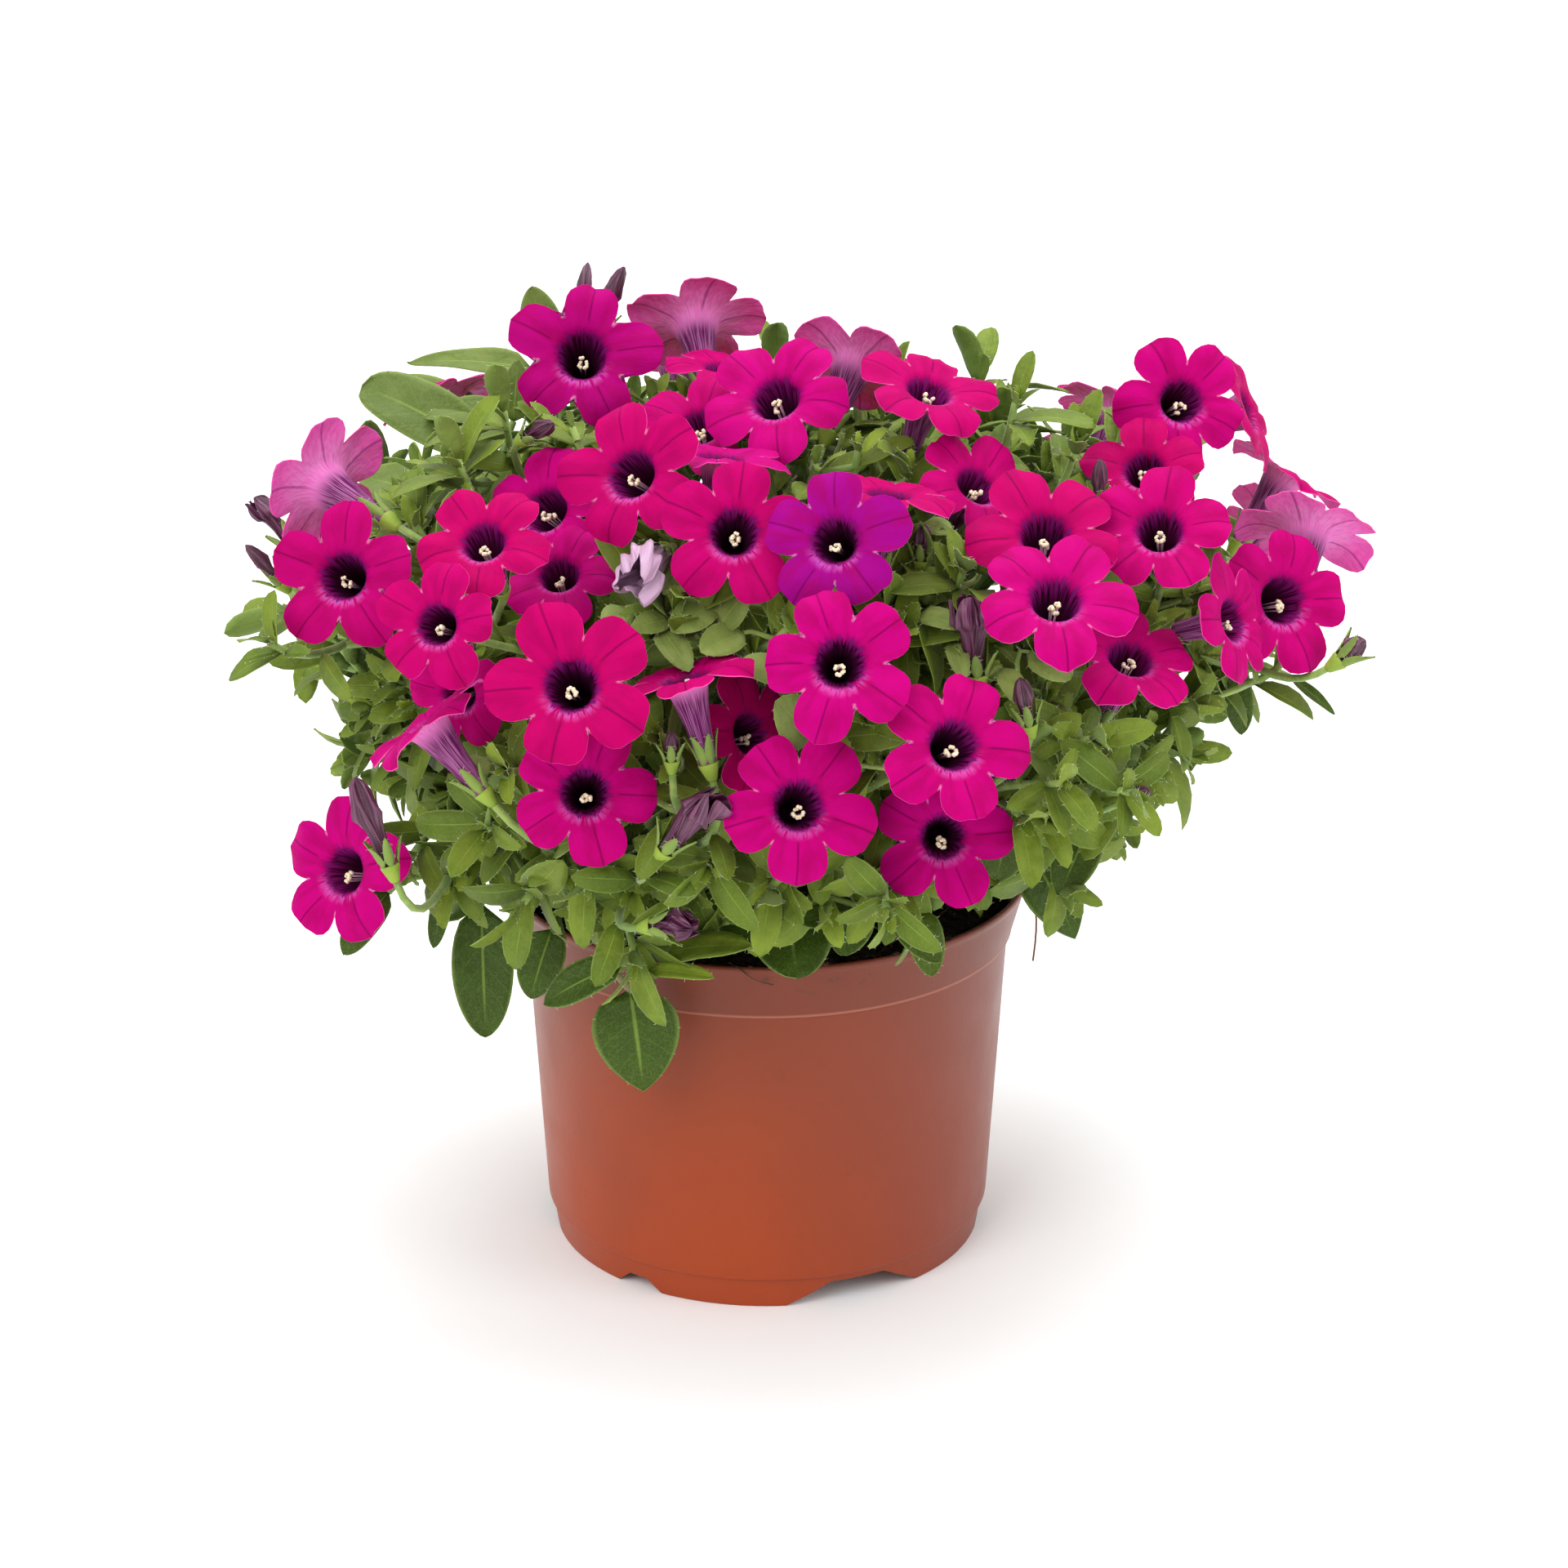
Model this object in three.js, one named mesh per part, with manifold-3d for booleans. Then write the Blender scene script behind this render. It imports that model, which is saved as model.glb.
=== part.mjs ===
// A small-flowered petunia in a 13 cm nursery pot. Millimetres, +Z up.
// The origin is where the pot's axis meets the surface that it stands on, and +Y points to the back.
//
// The plant is 14 leafy stems that stand in holes in the soil. Each stem carries twigs, and each twig ends
// in an open bloom, in a bud or in a tuft of leaves. A bloom is a funnel with five round lobes, and its tube
// stands in the cup of a calyx. The calyx, the twigs and the leaves are one body with their stem.
import * as THREE from "three";
import { mergeVertices } from "three/addons/utils/BufferGeometryUtils.js";
import Module from "manifold-3d";

const wasm = await Module();
wasm.setup();

// Driving dimensions
const GAP = 0.35; // clearance between touching pieces
const POT = {
  height: 94.4,
  rimRadius: 65,
  lipWidth: 1.3,
  wall: 1.5,
  floorFillet: 2,
  collarFoot: 79.6, // height of the collar's lower edge
  bodyTopRadius: 60,
  bodyFootRadius: 55.8,
  footHeight: 7.6,
  footRadius: 53.8,
  footWidth: 1.9,
  floorUnderside: 3.8,
  floorThickness: 1.8,
  sides: 24,
};
const NOTCH = {
  count: 6,
  firstTurn: -36,
  inner: 47,
  wide: { foot: 19, top: 7, height: 6.1 }, // half widths
  narrow: { foot: 7.5, top: 2.5, height: 3.4 },
};
const SOIL = {
  edgeHeight: 84,
  crown: 2.4,
  lumps: 1.1,
  rings: [44, 24], // radii at which its top is drawn
  slack: 0.7, // between its side and the pot's wall
  sides: 16,
  holeDepth: 9,
  holeSlack: 0.65,
};
const DOME = { centre: [2, 3, 154], radii: [138, 106, 70] }; // the mound that the blooms stand on
const STEM = { rootRadius: 1.9, tipRadius: 1.2, sides: 4, steps: 5, twigRadius: 0.95, twigSides: 3 };
const BLOOM = {
  diameter: 35.6, // the size that the other values are for
  tube: 24,
  tubeRadius: 1.9,
  throatRadius: 5.4,
  throatDepth: 5.8,
  hollowDepth: 15,
  faceRadius: 6,
  faceDepth: 0.9,
  lobeCentre: 10.9,
  lobeRadius: 6.9,
  lobes: 5,
  droop: [-3, 1], // lowest and highest edge of a lobe
};
const CALYX = { foot: 2.4, base: 0.9, wall: 0.8, depth: 1.2, sepal: 8, spread: 5.2, slack: 0.455 };
const LEAF = { thickness: 1.5, keel: 0.3 };
const TUFT = {
  leaves: 3,
  step: 2.2, // between the roots of leaves along the shoot
  turn: 2.4, // from one leaf to the next
  steep: 0.4,
  flat: 1.45,
  arch: 0.55,
  slimness: 0.36, // width as a share of the length
  firstLength: 0.7,
  attempts: 6,
  nudge: 0.45,
  shrink: 0.06,
};
const SEED = { blooms: 100, tufts: 500 };

// The photograph's view, which places the pieces that show in it: the camera looks along +Y and down
const VIEW = { elevation: 24, distance: 1000, focal: 4830, target: [0, 0, 50], targetU: 939, targetV: 1260 };

const SPREAD = { passes: 24, reach: 44, share: 0.35 }; // how blooms that would touch are moved apart
const ROOM = { step: 2.4, skin: 0.35, nearby: 30 }; // how the room that each piece takes is noted
const REAR = { bloomsOut: 1.08, tuftsOut: 0.97, lift: 0.2, plugRadius: 2.8, plug: [-1, 4] };

const vec = (x, y, z) => new THREE.Vector3(x, y, z);
const UP = vec(0, 0, 1);
const degrees = THREE.MathUtils.degToRad;

// A repeatable stream of numbers from 0 to 1
function randomFrom(seed) {
  let state = seed >>> 0;
  const next = () => {
    state = (Math.imul(state, 1664525) + 1013904223) >>> 0;
    return state / 4294967296;
  };
  for (let i = 0; i < 3; i += 1) next();
  return next;
}

// View
const tilt = degrees(VIEW.elevation);
const toCamera = vec(0, -Math.cos(tilt), Math.sin(tilt));
const pictureUp = vec(0, Math.sin(tilt), Math.cos(tilt));
const pictureRight = vec(1, 0, 0);
const camera = vec(...VIEW.target).addScaledVector(toCamera, VIEW.distance);

function sightLine(u, v) {
  return toCamera
    .clone()
    .negate()
    .addScaledVector(pictureRight, (u - VIEW.targetU) / VIEW.focal)
    .addScaledVector(pictureUp, (VIEW.targetV - v) / VIEW.focal);
}

// The point that shows at u, v and lies at depth y
function atDepth(u, v, y) {
  const line = sightLine(u, v);
  return camera.clone().addScaledVector(line, (y - camera.y) / line.y);
}

// The point that shows at u, v and lies on the mound, grown by a factor
function onDome(u, v, grown) {
  const line = sightLine(u, v);
  const centre = vec(...DOME.centre);
  const radii = vec(...DOME.radii).multiplyScalar(grown);
  const o = camera.clone().sub(centre).divide(radii);
  const d = line.clone().divide(radii);
  const half = o.dot(d) / d.lengthSq();
  const root = half * half - (o.lengthSq() - 1) / d.lengthSq();
  return camera.clone().addScaledVector(line, -half - Math.sqrt(Math.max(root, 0)));
}

function domeNormal(point) {
  const radii = vec(...DOME.radii);
  return point.clone().sub(vec(...DOME.centre)).divide(radii).divide(radii).normalize();
}

// A direction given as it looks in the picture: right, up, and towards the viewer or away
function facing(right, up, sense) {
  const towards = Math.sqrt(Math.max(0, 1 - right * right - up * up)) * sense;
  return vec(0, 0, 0)
    .addScaledVector(pictureRight, right)
    .addScaledVector(pictureUp, up)
    .addScaledVector(toCamera, towards)
    .normalize();
}

// Two directions square to a third
function squareTo(axis, hint) {
  const side = hint.clone().addScaledVector(axis, -hint.dot(axis));
  if (side.lengthSq() < 1e-6) side.copy(pictureRight).addScaledVector(axis, -pictureRight.dot(axis));
  side.normalize();
  return [side, axis.clone().cross(side)];
}

// Solids: a chain of rings is skinned into one closed body. Rings may hold different numbers of points.
function band(faces, a, b) {
  let [i, j] = [0, 0];
  while (i < a.length || j < b.length) {
    const [shareA, shareB] = [(i + 1) / a.length, (j + 1) / b.length];
    const [p, q] = [a[i % a.length], b[j % b.length]];
    if (shareA < shareB || (shareA === shareB && a.length < b.length)) {
      i += 1;
      if (a.length > 1) faces.push([p, a[i % a.length], q]);
    } else {
      j += 1;
      if (b.length > 1) faces.push([p, b[j % b.length], q]);
    }
  }
}

function skin(chain) {
  const points = chain.flat();
  const faces = [];
  let first = 0;
  const rings = chain.map((ring) => ring.map(() => first++));
  for (let i = 0; i + 1 < rings.length; i += 1) band(faces, rings[i], rings[i + 1]);
  const triVerts = new Uint32Array(faces.flat());
  const vertProperties = new Float32Array(points.flatMap((p) => [p.x, p.y, p.z]));
  const made = new wasm.Manifold(new wasm.Mesh({ numProp: 3, vertProperties, triVerts }));
  if (made.volume() > 0) return made;
  const turned = new Uint32Array(faces.map(([p, q, r]) => [p, r, q]).flat());
  return new wasm.Manifold(new wasm.Mesh({ numProp: 3, vertProperties, triVerts: turned }));
}

function fromGeometry(geometry) {
  const plain = geometry.clone();
  plain.deleteAttribute("normal");
  plain.deleteAttribute("uv");
  const merged = mergeVertices(plain, 1e-4);
  const triVerts = new Uint32Array(merged.index.array);
  const mesh = new wasm.Mesh({ numProp: 3, vertProperties: merged.attributes.position.array, triVerts });
  return new wasm.Manifold(mesh);
}

function toGeometry(solid) {
  const mesh = solid.getMesh();
  const geometry = new THREE.BufferGeometry();
  geometry.setAttribute("position", new THREE.BufferAttribute(mesh.vertProperties, mesh.numProp));
  geometry.setIndex(new THREE.BufferAttribute(mesh.triVerts, 1));
  return geometry;
}

// Joins pieces in one body, and drops any scrap that isn't held to it
function joined(pieces) {
  const bodies = wasm.Manifold.union(pieces).decompose();
  return bodies.sort((a, b) => b.volume() - a.volume())[0];
}

function overlap(a, b) {
  const [p, q] = [a.boundingBox(), b.boundingBox()];
  const apart = [0, 1, 2].some((i) => p.min[i] > q.max[i] || q.min[i] > p.max[i]);
  return apart ? 0 : a.intersect(b).volume();
}

// Curves
function bezier(p0, p1, p2, p3, t) {
  const s = 1 - t;
  return vec(0, 0, 0)
    .addScaledVector(p0, s * s * s)
    .addScaledVector(p1, 3 * s * s * t)
    .addScaledVector(p2, 3 * s * t * t)
    .addScaledVector(p3, t * t * t);
}

function curvePoints(control, steps) {
  return Array.from({ length: steps + 1 }, (_, i) => bezier(...control, i / steps));
}

// The rings of a round stem along a line, the first point of each ring turned from the hint by an angle
function ringsAlong(line, radiusAt, sides, hint, start = 0) {
  const last = line.length - 1;
  return line.map((p, i) => {
    const along = line[Math.min(i + 1, last)].clone().sub(line[Math.max(i - 1, 0)]).normalize();
    const [side, other] = squareTo(along, hint);
    return Array.from({ length: sides }, (_, k) => {
      const turn = start + (2 * Math.PI * k) / sides;
      const r = radiusAt(i / last);
      return p.clone().addScaledVector(side, r * Math.cos(turn)).addScaledVector(other, r * Math.sin(turn));
    });
  });
}

function twigRings(twig, hint, start) {
  return [[twig.line[0]], ...ringsAlong(twig.line, () => STEM.twigRadius, STEM.twigSides, hint, start)];
}

// Room: each piece of the plant is noted as a row of balls, so that the next one can be grown clear of it
const room = [];

function ballAt(p, r) {
  return { x: p.x, y: p.y, z: p.z, r };
}

function ballsAlong(line, radius) {
  return line.slice(1).flatMap((end, i) => {
    const begin = line[i];
    const count = Math.ceil(end.distanceTo(begin) / ROOM.step);
    return Array.from({ length: count }, (_, k) => ballAt(begin.clone().lerp(end, (k + 1) / count), radius));
  });
}

function depthOf(a, b) {
  const reach = a.r + b.r;
  const [x, y, z] = [a.x - b.x, a.y - b.y, a.z - b.z];
  const square = x * x + y * y + z * z;
  return square > reach * reach ? 0 : reach - Math.sqrt(square);
}

function potClear(ball) {
  const away = Math.hypot(ball.x, ball.y);
  const share = THREE.MathUtils.clamp(ball.z / POT.height, 0, 1);
  const wall = POT.footRadius + (POT.rimRadius - POT.footRadius) * share + 1;
  if (ball.z - ball.r > POT.height + 0.6) return true;
  if (away - ball.r > wall) return ball.z - ball.r > 2;
  return ball.z - ball.r > SOIL.edgeHeight + SOIL.crown + 1 && away + ball.r < wall - 5;
}

function othersThan(owners) {
  return room.filter((ball) => !owners.includes(ball.owner));
}

function isClear(balls, others) {
  return balls.every((a) => potClear(a) && others.every((b) => depthOf(a, b) === 0));
}

function note(balls, owner) {
  balls.forEach((ball) => room.push({ ...ball, owner }));
}

// Pot: a moulded shell with a flared collar and a foot ring, which has wide and narrow notches in turn
function makePot() {
  const floorTop = POT.floorUnderside + POT.floorThickness;
  const profile = [
    [0, POT.floorUnderside],
    [POT.footRadius - POT.footWidth - 0.6, POT.floorUnderside],
    [POT.footRadius - POT.footWidth, 0],
    [POT.footRadius, 0],
    [POT.footRadius + 0.9, POT.footHeight],
    [POT.bodyFootRadius, POT.footHeight + 0.6],
    [POT.bodyTopRadius, POT.collarFoot],
    [POT.bodyTopRadius + 1.1, POT.collarFoot + 0.7],
    [POT.rimRadius - 0.8, POT.height - 2.4],
    [POT.rimRadius, POT.height - 1],
    [POT.rimRadius - 0.4, POT.height],
    [POT.rimRadius - POT.lipWidth, POT.height],
    [POT.rimRadius - POT.lipWidth - 1.2, POT.height - 3],
    [POT.bodyTopRadius - POT.wall, POT.collarFoot - 1],
    [POT.bodyFootRadius - POT.wall, floorTop + POT.floorFillet],
    [POT.bodyFootRadius - POT.wall - POT.floorFillet, floorTop],
    [0, floorTop],
  ].map(([r, z]) => new THREE.Vector2(r, z));
  const shell = new THREE.LatheGeometry(profile, POT.sides).rotateX(Math.PI / 2);
  const cuts = Array.from({ length: NOTCH.count }, (_, i) => {
    const { foot, top, height } = i % 2 === 1 ? NOTCH.wide : NOTCH.narrow;
    const outline = new THREE.Shape([
      new THREE.Vector2(-foot, -0.5),
      new THREE.Vector2(foot, -0.5),
      new THREE.Vector2(top, height),
      new THREE.Vector2(-top, height),
    ]);
    const depth = POT.footRadius + 4 - NOTCH.inner;
    const cut = new THREE.ExtrudeGeometry(outline, { depth, bevelEnabled: false });
    cut.rotateX(Math.PI / 2).translate(0, -NOTCH.inner, 0);
    cut.rotateZ(degrees(NOTCH.firstTurn + (i * 360) / NOTCH.count));
    return fromGeometry(cut);
  });
  return joined([fromGeometry(shell).subtract(wasm.Manifold.union(cuts))]);
}

// Soil: one plug of potting mix with a lumpy crown, and a plain hole for each stem
function makeSoil(stems) {
  const floorTop = POT.floorUnderside + POT.floorThickness;
  const { slack } = SOIL;
  const side = [
    [POT.bodyFootRadius - POT.wall - POT.floorFillet - slack, floorTop + GAP],
    [POT.bodyFootRadius - POT.wall - slack, floorTop + POT.floorFillet + GAP],
    [POT.bodyTopRadius - POT.wall - slack, POT.collarFoot - 1],
    [POT.bodyTopRadius + 0.2 - POT.wall - slack, SOIL.edgeHeight],
  ];
  const ringAt = (radius, height) =>
    Array.from({ length: SOIL.sides }, (_, k) => {
      const turn = (2 * Math.PI * k) / SOIL.sides;
      return vec(radius * Math.cos(turn), radius * Math.sin(turn), height(radius, turn));
    });
  const lumps = (r, a) => SOIL.lumps * Math.sin(r * 0.37 + 3 * Math.cos(3 * a)) * Math.cos(5 * a + r * 0.21);
  const crown = (r, a) => SOIL.edgeHeight + SOIL.crown * (1 - (r / POT.bodyTopRadius) ** 2) + lumps(r, a);
  const chain = [[vec(0, 0, floorTop + GAP)], ...side.map(([r, z]) => ringAt(r, () => z))];
  SOIL.rings.forEach((r) => chain.push(ringAt(r, crown)));
  chain.push([vec(0, 0, SOIL.edgeHeight + SOIL.crown)]);
  const holes = stems.map((stem) => {
    const radius = STEM.rootRadius + SOIL.holeSlack;
    const hole = new THREE.CylinderGeometry(radius, radius, SOIL.holeDepth * 2, 5).rotateX(Math.PI / 2);
    return fromGeometry(hole.translate(stem.foot.x, stem.foot.y, SOIL.edgeHeight + SOIL.crown));
  });
  return joined([skin(chain).subtract(wasm.Manifold.union(holes))]);
}

// Main stems: place in the soil, place of the tip, and how far the stem bows up between them
const STEMS = [
  { name: "low_left", root: [-22, -12], tip: [-70, -34, 124], bow: 14 },
  { name: "left", root: [-26, 2], tip: [-74, 16, 142], bow: 14 },
  { name: "high_left", root: [-19, 15], tip: [-48, 42, 172], bow: 10 },
  { name: "rear_left", root: [-8, 25], tip: [-30, 66, 146], bow: 14 },
  { name: "rear_right", root: [9, 26], tip: [34, 66, 146], bow: 14 },
  { name: "high_right", root: [20, 15], tip: [60, 38, 164], bow: 10 },
  { name: "right", root: [27, 1], tip: [84, 2, 144], bow: 14 },
  { name: "low_right", root: [23, -13], tip: [62, -40, 134], bow: 14 },
  { name: "front_right", root: [13, -23], tip: [32, -62, 122], bow: 16 },
  { name: "front_left", root: [-12, -24], tip: [-30, -60, 122], bow: 16 },
  { name: "mid_left", root: [-13, -7], tip: [-42, -22, 160], bow: 8 },
  { name: "mid_right", root: [14, -6], tip: [40, -18, 162], bow: 8 },
  { name: "top_front", root: [0, -12], tip: [0, -30, 168], bow: 6 },
  { name: "top_rear", root: [1, 11], tip: [2, 24, 182], bow: 6 },
].map((row) => {
  const neck = vec(...row.root, SOIL.edgeHeight + SOIL.crown + 1.5);
  const foot = vec(...row.root, SOIL.edgeHeight + SOIL.crown - SOIL.holeDepth + 1);
  const tip = vec(...row.tip);
  const rise = 0.45 * (tip.z - neck.z) + 4;
  const bend = neck.clone().lerp(tip, 0.6).addScaledVector(UP, row.bow);
  const control = [neck, neck.clone().addScaledVector(UP, rise), bend, tip];
  return { name: row.name, foot, control, parts: [], line: [foot, ...curvePoints(control, STEM.steps)] };
});
const stemRadius = (t) => STEM.rootRadius + (STEM.tipRadius - STEM.rootRadius) * t;

// Open blooms: where the throat shows in the picture, how far out on the mound it stands, the way it faces
// in the picture (right, up, towards the viewer 1 or away -1), and its diameter
const BLOOMS = [
  { u: 712, v: 430, out: 1.04, face: [0.02, 0.1, 1], size: 38 },
  { u: 418, v: 703, out: 1.0, face: [-0.2, 0.05, 1], size: 35 },
  { u: 660, v: 607, out: 1.0, face: [-0.4, 0.3, 1], size: 34 },
  { u: 772, v: 580, out: 1.08, face: [-0.4, 0.2, 1], size: 35 },
  { u: 598, v: 672, out: 1.0, face: [-0.15, 0.45, 1], size: 31 },
  { u: 682, v: 696, out: 0.92, face: [-0.1, 0.5, 1], size: 29 },
  { u: 540, v: 772, out: 1.06, face: [-0.3, 0.05, 1], size: 29 },
  { u: 556, v: 846, out: 0.95, face: [-0.4, -0.2, 1], size: 26 },
  { u: 703, v: 846, out: 1.06, face: [-0.08, 0.08, 1], size: 37 },
  { u: 518, v: 880, out: 1.06, face: [-0.62, 0.76, 1], size: 33 },
  { u: 714, v: 968, out: 1.06, face: [0.03, 0.02, 1], size: 34 },
  { u: 900, v: 656, out: 1.02, face: [0.02, 0.08, 1], size: 34 },
  { u: 1022, v: 666, out: 1.08, face: [-0.16, 0.06, 1], size: 33 },
  { u: 1028, v: 816, out: 1.05, face: [0, 0.04, 1], size: 35 },
  { u: 978, v: 988, out: 1.03, face: [0.12, 0.04, 1], size: 35 },
  { u: 1168, v: 915, out: 1.06, face: [0.22, 0.1, 1], size: 35 },
  { u: 1157, v: 1024, out: 0.98, face: [0.05, -0.1, 1], size: 32 },
  { u: 922, v: 892, out: 0.97, face: [0.68, 0.1, 1], size: 31 },
  { u: 838, v: 826, out: 1.0, face: [-0.25, 0.93, 1], size: 33 },
  { u: 1280, v: 655, out: 0.99, face: [0, 0.45, 1], size: 36 },
  { u: 1292, v: 735, out: 1.06, face: [0.05, 0.5, 1], size: 36 },
  { u: 1388, v: 802, out: 1.0, face: [0.25, 0.6, 1], size: 33 },
  { u: 1420, v: 650, out: 1.05, face: [-0.1, 0.35, 1], size: 33 },
  { u: 1404, v: 572, out: 0.98, face: [-0.15, 0.4, 1], size: 30 },
  { u: 1452, v: 487, out: 1.12, face: [0.22, 0.08, 1], size: 33 },
  { u: 1530, v: 505, out: 1.0, face: [0.9, 0.3, 1], size: 32 },
  { u: 1584, v: 728, out: 1.08, face: [0.42, 0.02, 1], size: 36 },
  { u: 1604, v: 646, out: 1.04, face: [0.15, 0.93, -1], size: 36 },
  { u: 1514, v: 760, out: 1.02, face: [0.8, 0.12, 1], size: 31 },
  { u: 1203, v: 584, out: 1.02, face: [0.4, 0.5, 1], size: 31 },
  { u: 1140, v: 475, out: 1.06, face: [0.25, 0.72, 1], size: 33 },
  { u: 1048, v: 434, out: 1.06, face: [0.3, 0.85, -1], size: 34 },
  { u: 950, v: 482, out: 1.02, face: [-0.25, 0.45, 1], size: 36 },
  { u: 856, v: 512, out: 0.95, face: [-0.15, 0.55, 1], size: 32 },
  { u: 850, v: 378, out: 1.1, face: [-0.15, 0.85, -1], size: 36 },
  { u: 888, v: 440, out: 0.98, face: [0.1, 0.9, 1], size: 30 },
  { u: 884, v: 552, out: 1.06, face: [0.1, 0.95, 1], size: 33 },
  { u: 1090, v: 600, out: 1.06, face: [0.1, 0.93, 1], size: 31 },
  { u: 394, v: 590, out: 1.04, face: [-0.72, 0.45, -1], size: 36 },
  { u: 418, v: 1066, out: 1.1, face: [-0.55, 0.02, 1], size: 35 },
];

// Rear blooms, which the picture doesn't show: turn round the mound, height angle on it, and diameter.
// Each is one body with its stem.
const REAR_BLOOMS = [
  { turn: 150, rise: 8, size: 34 },
  { turn: 133, rise: 33, size: 36 },
  { turn: 115, rise: 7, size: 33 },
  { turn: 103, rise: 40, size: 35 },
  { turn: 88, rise: 4, size: 34 },
  { turn: 76, rise: 34, size: 33 },
  { turn: 60, rise: 8, size: 36 },
  { turn: 47, rise: 30, size: 34 },
  { turn: 30, rise: 6, size: 34 },
  { turn: 168, rise: 26, size: 34 },
  { turn: 14, rise: 28, size: 34 },
];

// Buds and spent blooms, placed as the blooms are, with their length, their width and their kind
const BUDS = [
  { u: 298, v: 666, out: 1.06, face: [-0.6, 0.62, 1], size: 15, width: 4.4 },
  { u: 716, v: 338, out: 1.1, face: [0.1, 0.95, -1], size: 13, width: 4.4 },
  { u: 752, v: 344, out: 1.06, face: [0.35, 0.9, 1], size: 15, width: 5.4 },
  { u: 440, v: 950, out: 1.08, face: [-0.3, 0.92, 1], size: 24, width: 7.5 },
  { u: 786, v: 694, out: 1.05, face: [-0.3, -0.35, 1], size: 17, width: 9.5 },
  { u: 1190, v: 736, out: 1.02, face: [-0.1, 0.9, 1], size: 20, width: 8.5 },
  { u: 868, v: 972, out: 1.06, face: [0.5, 0.6, 1], size: 22, width: 9.5 },
  { u: 1350, v: 560, out: 1.04, face: [0, 0.9, 1], size: 14, width: 4.6 },
  { u: 1250, v: 830, out: 1.04, face: [-0.2, 0.85, 1], size: 14, width: 5.4 },
  { u: 772, v: 770, out: 0.93, face: [0.25, 0.6, 1], size: 11, width: 5 },
  { u: 822, v: 896, out: 1.02, face: [0.0, 0.9, 1], size: 9, width: 4 },
  { u: 842, v: 1128, out: 1.1, face: [0.85, 0.1, 1], size: 12, width: 7 },
  { u: 1676, v: 786, out: 1.12, face: [0.8, 0.55, 1], size: 10, width: 7 },
  { u: 1408, v: 968, out: 1.04, face: [0.7, 0.3, 1], size: 9, width: 4.4 },
  { u: 1132, v: 640, out: 0.98, face: [0.05, 0.9, 1], size: 11, width: 5 },
  { u: 676, v: 512, out: 1.03, face: [0.7, 0.3, 1], size: 12, width: 5 },
];

// Tufts of leaves at the shoot tips: place as above, and the length of the longest leaf
const TUFTS = [
  { u: 642, v: 1105, out: 1.02, size: 24 },
  { u: 776, v: 1172, out: 1.1, size: 22 },
  { u: 868, v: 1062, out: 0.98, size: 22 },
  { u: 1086, v: 1112, out: 1.06, size: 20 },
  { u: 1384, v: 972, out: 1.04, size: 20 },
  { u: 1336, v: 905, out: 0.97, size: 20 },
  { u: 1180, v: 700, out: 0.95, size: 21 },
  { u: 846, v: 744, out: 0.9, size: 23 },
  { u: 596, v: 1015, out: 0.99, size: 21 },
  { u: 496, v: 1062, out: 1.02, size: 15 },
  { u: 556, v: 1075, out: 0.97, size: 18 },
  { u: 330, v: 786, out: 1.06, size: 15 },
  { u: 700, v: 520, out: 0.97, size: 20 },
  { u: 560, v: 560, out: 0.98, size: 22 },
  { u: 508, v: 640, out: 0.92, size: 21 },
  { u: 616, v: 500, out: 1.0, size: 22 },
  { u: 1246, v: 490, out: 1.06, size: 19 },
  { u: 1322, v: 545, out: 0.98, size: 19 },
  { u: 1384, v: 506, out: 1.02, size: 18 },
  { u: 1052, v: 548, out: 0.96, size: 20 },
  { u: 830, v: 925, out: 0.95, size: 20 },
  { u: 966, v: 768, out: 0.94, size: 21 },
  { u: 620, v: 940, out: 0.95, size: 19 },
  { u: 1250, v: 1000, out: 0.94, size: 21 },
  { u: 945, v: 1085, out: 0.98, size: 20 },
  { u: 716, v: 1075, out: 0.98, size: 20 },
  { u: 1300, v: 960, out: 1.03, size: 18 },
];

// Rear tufts by rule, in rows round the mound: height angle, how many, and the turn of the first
const REAR_TUFTS = [
  { rise: -6, count: 6, first: 22, size: 24 },
  { rise: 19, count: 5, first: 38, size: 24 },
  { rise: 46, count: 3, first: 56, size: 22 },
];

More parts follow.
